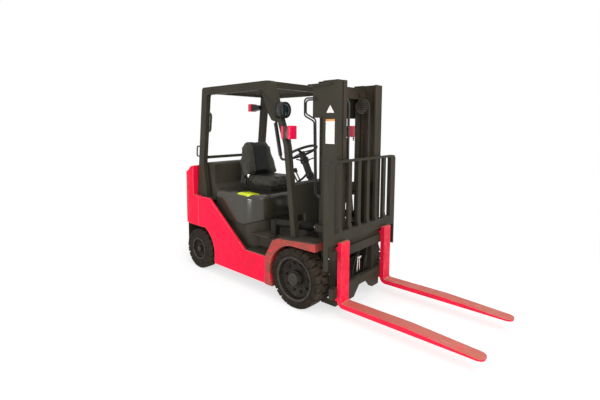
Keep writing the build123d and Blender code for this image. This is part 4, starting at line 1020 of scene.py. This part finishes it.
def blow_up(piece, cap):
    """Inflate a pad as cloth under pressure, no point moving further than the cap."""
    rest = [vert.co.copy() for vert in piece.data.vertices]
    cloth = piece.modifiers.new("cloth", "CLOTH")
    cloth.settings.quality = 5
    cloth.settings.mass = 0.4
    cloth.settings.tension_stiffness = 25
    cloth.settings.compression_stiffness = 25
    cloth.settings.use_pressure = True
    cloth.settings.uniform_pressure_force = PRESSURE
    cloth.settings.effector_weights.gravity = 0
    cloth.point_cache.frame_end = SIM_FRAMES
    for number in range(1, SIM_FRAMES + 1):
        scene.frame_set(number)
    swollen = baked(piece)
    piece.modifiers.clear()
    scene.frame_set(1)
    for vert, start in zip(swollen.vertices, rest):
        move = vert.co - start
        if move.length > cap:
            move *= cap / move.length
        vert.co = start + move
    piece.data = swollen


def seat_pad(name, node, channel):
    """Padded cover for one seat part: remeshed, inflated, channelled and smoothed."""
    piece = bpy.data.objects.new(name, shrunk(node, PAD_INSET))
    scene.collection.objects.link(piece)
    remesh = piece.modifiers.new("remesh", "REMESH")
    remesh.mode = "VOXEL"
    remesh.voxel_size = SEAT_VOXEL
    piece.data = baked(piece)
    piece.modifiers.clear()
    blow_up(piece, PAD_CAP)
    for vert in piece.data.vertices:
        vert.co += channel(vert.co - Vector((DATUM_X, 0, 0)), vert.normal)
    smooth = piece.modifiers.new("smooth", "SUBSURF")
    smooth.levels = 1
    smooth.render_levels = 1
    piece.data = baked(piece)
    piece.modifiers.clear()
    piece.data.shade_smooth()
    piece.data.materials.clear()
    piece.data.materials.append(FINISHES["seat_vinyl"])
    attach(piece, "hood_lid")
    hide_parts(node)


def panel_seams(y, crossing, normal):
    """Push of the sewn channels along the centre panel's sides and of one that crosses it."""
    outside = abs(y) - PANEL_HALF
    distance = min(abs(outside), abs(crossing) + max(0.0, outside))
    return -normal * (SEAM_DEPTH * math.exp(-(distance / SEAM_WIDTH) ** 2))


def cushion_channel(place, normal):
    """Seams on top of the cushion, the crossing one behind its front roll."""
    return panel_seams(place.y, place.x - ROLL_SEAM_X, normal) * (normal.z > SEAM_FACING)


def back_channel(place, normal):
    """Seams on the front of the backrest, the crossing one under its head."""
    return panel_seams(place.y, place.z - HEAD_SEAM_Z, normal) * (normal.x > SEAM_FACING)


# Camera, light and floor
CAMERA_SPOT = at(2.1364, -3.0152, 1.5957)
CAMERA_YAW = math.radians(133.9)
CAMERA_PITCH = math.radians(-5.1)
SENSOR = 36.0
LENS = 23.25
SHIFT_X = 0.0418
SHIFT_Y = -0.0647
WORLD_LIGHT = 0.66
FLOOR_SIZE = 80.0
FLOOR_GLOW = 0.66
FLOOR_PALE = 0.40
FLOOR_BOUNCE = 0.80
FADE_FROM = 2.3
FADE_TO = 4.6


def place_camera():
    """Camera at the photograph's view."""
    data = bpy.data.cameras.new("camera")
    data.sensor_width = SENSOR
    data.lens = LENS
    data.shift_x = SHIFT_X
    data.shift_y = SHIFT_Y
    camera = bpy.data.objects.new("camera", data)
    camera.location = CAMERA_SPOT
    ahead = Vector((
        math.cos(CAMERA_YAW) * math.cos(CAMERA_PITCH),
        math.sin(CAMERA_YAW) * math.cos(CAMERA_PITCH),
        math.sin(CAMERA_PITCH),
    ))
    camera.rotation_mode = "QUATERNION"
    camera.rotation_quaternion = ahead.to_track_quat("-Z", "Y")
    scene.collection.objects.link(camera)
    scene.camera = camera


def place_lamp(name, spot, target, width, height, power):
    """Soft panel of light that faces a target."""
    data = bpy.data.lights.new(name, "AREA")
    data.shape = "RECTANGLE"
    data.size = width
    data.size_y = height
    data.energy = power
    lamp = bpy.data.objects.new(name, data)
    lamp.location = spot
    lamp.rotation_mode = "QUATERNION"
    lamp.rotation_quaternion = (Vector(target) - Vector(spot)).to_track_quat("-Z", "Y")
    scene.collection.objects.link(lamp)
    return lamp


def background_rays(tree):
    """Mask of the rays that show the background: straight, mirrored or through glass."""
    rays = tree.nodes.new("ShaderNodeLightPath")
    mask = rays.outputs["Is Camera Ray"]
    for kind in ("Is Glossy Ray", "Is Transmission Ray"):
        either = tree.nodes.new("ShaderNodeMath")
        either.operation = "MAXIMUM"
        tree.links.new(mask, either.inputs[0])
        tree.links.new(rays.outputs[kind], either.inputs[1])
        mask = either.outputs[0]
    return mask


def light_world():
    """Even studio light, plain white where the background shows."""
    world = bpy.data.worlds.new("studio")
    world.use_nodes = True
    scene.world = world
    tree = world.node_tree
    lit = tree.nodes["Background"]
    lit.inputs["Color"].default_value = (1, 1, 1, 1)
    lit.inputs["Strength"].default_value = WORLD_LIGHT
    white = tree.nodes.new("ShaderNodeBackground")
    white.inputs["Color"].default_value = (1, 1, 1, 1)
    choose = tree.nodes.new("ShaderNodeMixShader")
    tree.links.new(background_rays(tree), choose.inputs["Fac"])
    tree.links.new(lit.outputs[0], choose.inputs[1])
    tree.links.new(white.outputs[0], choose.inputs[2])
    tree.links.new(choose.outputs[0], tree.nodes["World Output"].inputs["Surface"])


def lay_floor():
    """Pale floor with a soft shadow near the truck, seen as white further out; it gives off no light."""
    mesh = bpy.data.meshes.new("floor")
    bm = bmesh.new()
    bmesh.ops.create_grid(bm, x_segments=1, y_segments=1, size=FLOOR_SIZE / 2)
    bm.to_mesh(mesh)
    bm.free()
    floor = bpy.data.objects.new("floor", mesh)
    scene.collection.objects.link(floor)
    f = Finish("floor_pale", rough=0.9, specular=0.0)
    seen = background_rays(f.material.node_tree)
    f.plug(f.shader.inputs["Base Color"], f.mix(seen, (FLOOR_BOUNCE,) * 3, (FLOOR_PALE,) * 3))
    f.shader.inputs["Emission Color"].default_value = (1, 1, 1, 1)
    f.plug(f.shader.inputs["Emission Strength"], f.math("MULTIPLY", seen, FLOOR_GLOW))
    white = f.nodes.new("ShaderNodeEmission")
    white.inputs["Color"].default_value = (1, 1, 1, 1)
    x = f.axis(f.place, "X")
    y = f.axis(f.place, "Y")
    away = f.math("SQRT", f.math("ADD", f.math("MULTIPLY", x, x), f.math("MULTIPLY", y, y)))
    choose = f.nodes.new("ShaderNodeMixShader")
    f.links.new(f.math("MULTIPLY", seen, f.ramp(away, FADE_FROM, FADE_TO)), choose.inputs["Fac"])
    f.links.new(f.shader.outputs[0], choose.inputs[1])
    f.links.new(white.outputs[0], choose.inputs[2])
    f.links.new(choose.outputs[0], f.nodes["Material Output"].inputs["Surface"])
    mesh.materials.append(f.material)


finish_nodes()
for hand, sign in (("left", 1), ("right", -1)):
    for end in WHEELS:
        wheel_fittings(end, hand, sign)
headlamp_fronts()
indicator_lamps()
guard_gussets()
grip_sleeve()
mast_plates()
tilt_boots()
carriage_fittings()
seat_fittings()
lever_knobs()
instruments()
hood_patch()
seat_pad("seat_cushion_cover", "seat_cushion", cushion_channel)
seat_pad("seat_back_cover", "seat_back", back_channel)

place_camera()
light_world()
lay_floor()
place_lamp("key", at(4.6, -2.0, 5.0), at(-0.2, 0, 0.8), 3.5, 3.5, 110)
fill = place_lamp("fill", at(4.0, -3.4, 1.9), at(-0.4, 0, 0.9), 3.0, 3.0, 130)
# The fill lamp stays out of reflections, so that the hood has one highlight
fill.visible_glossy = False
place_lamp("panel", at(-1.55, -3.9, 1.12), at(-0.75, -0.4, 0.8), 1.6, 0.7, 50)
place_lamp("top", at(-0.4, 0.5, 6.0), at(-0.4, 0, 0), 4.0, 4.0, 80)
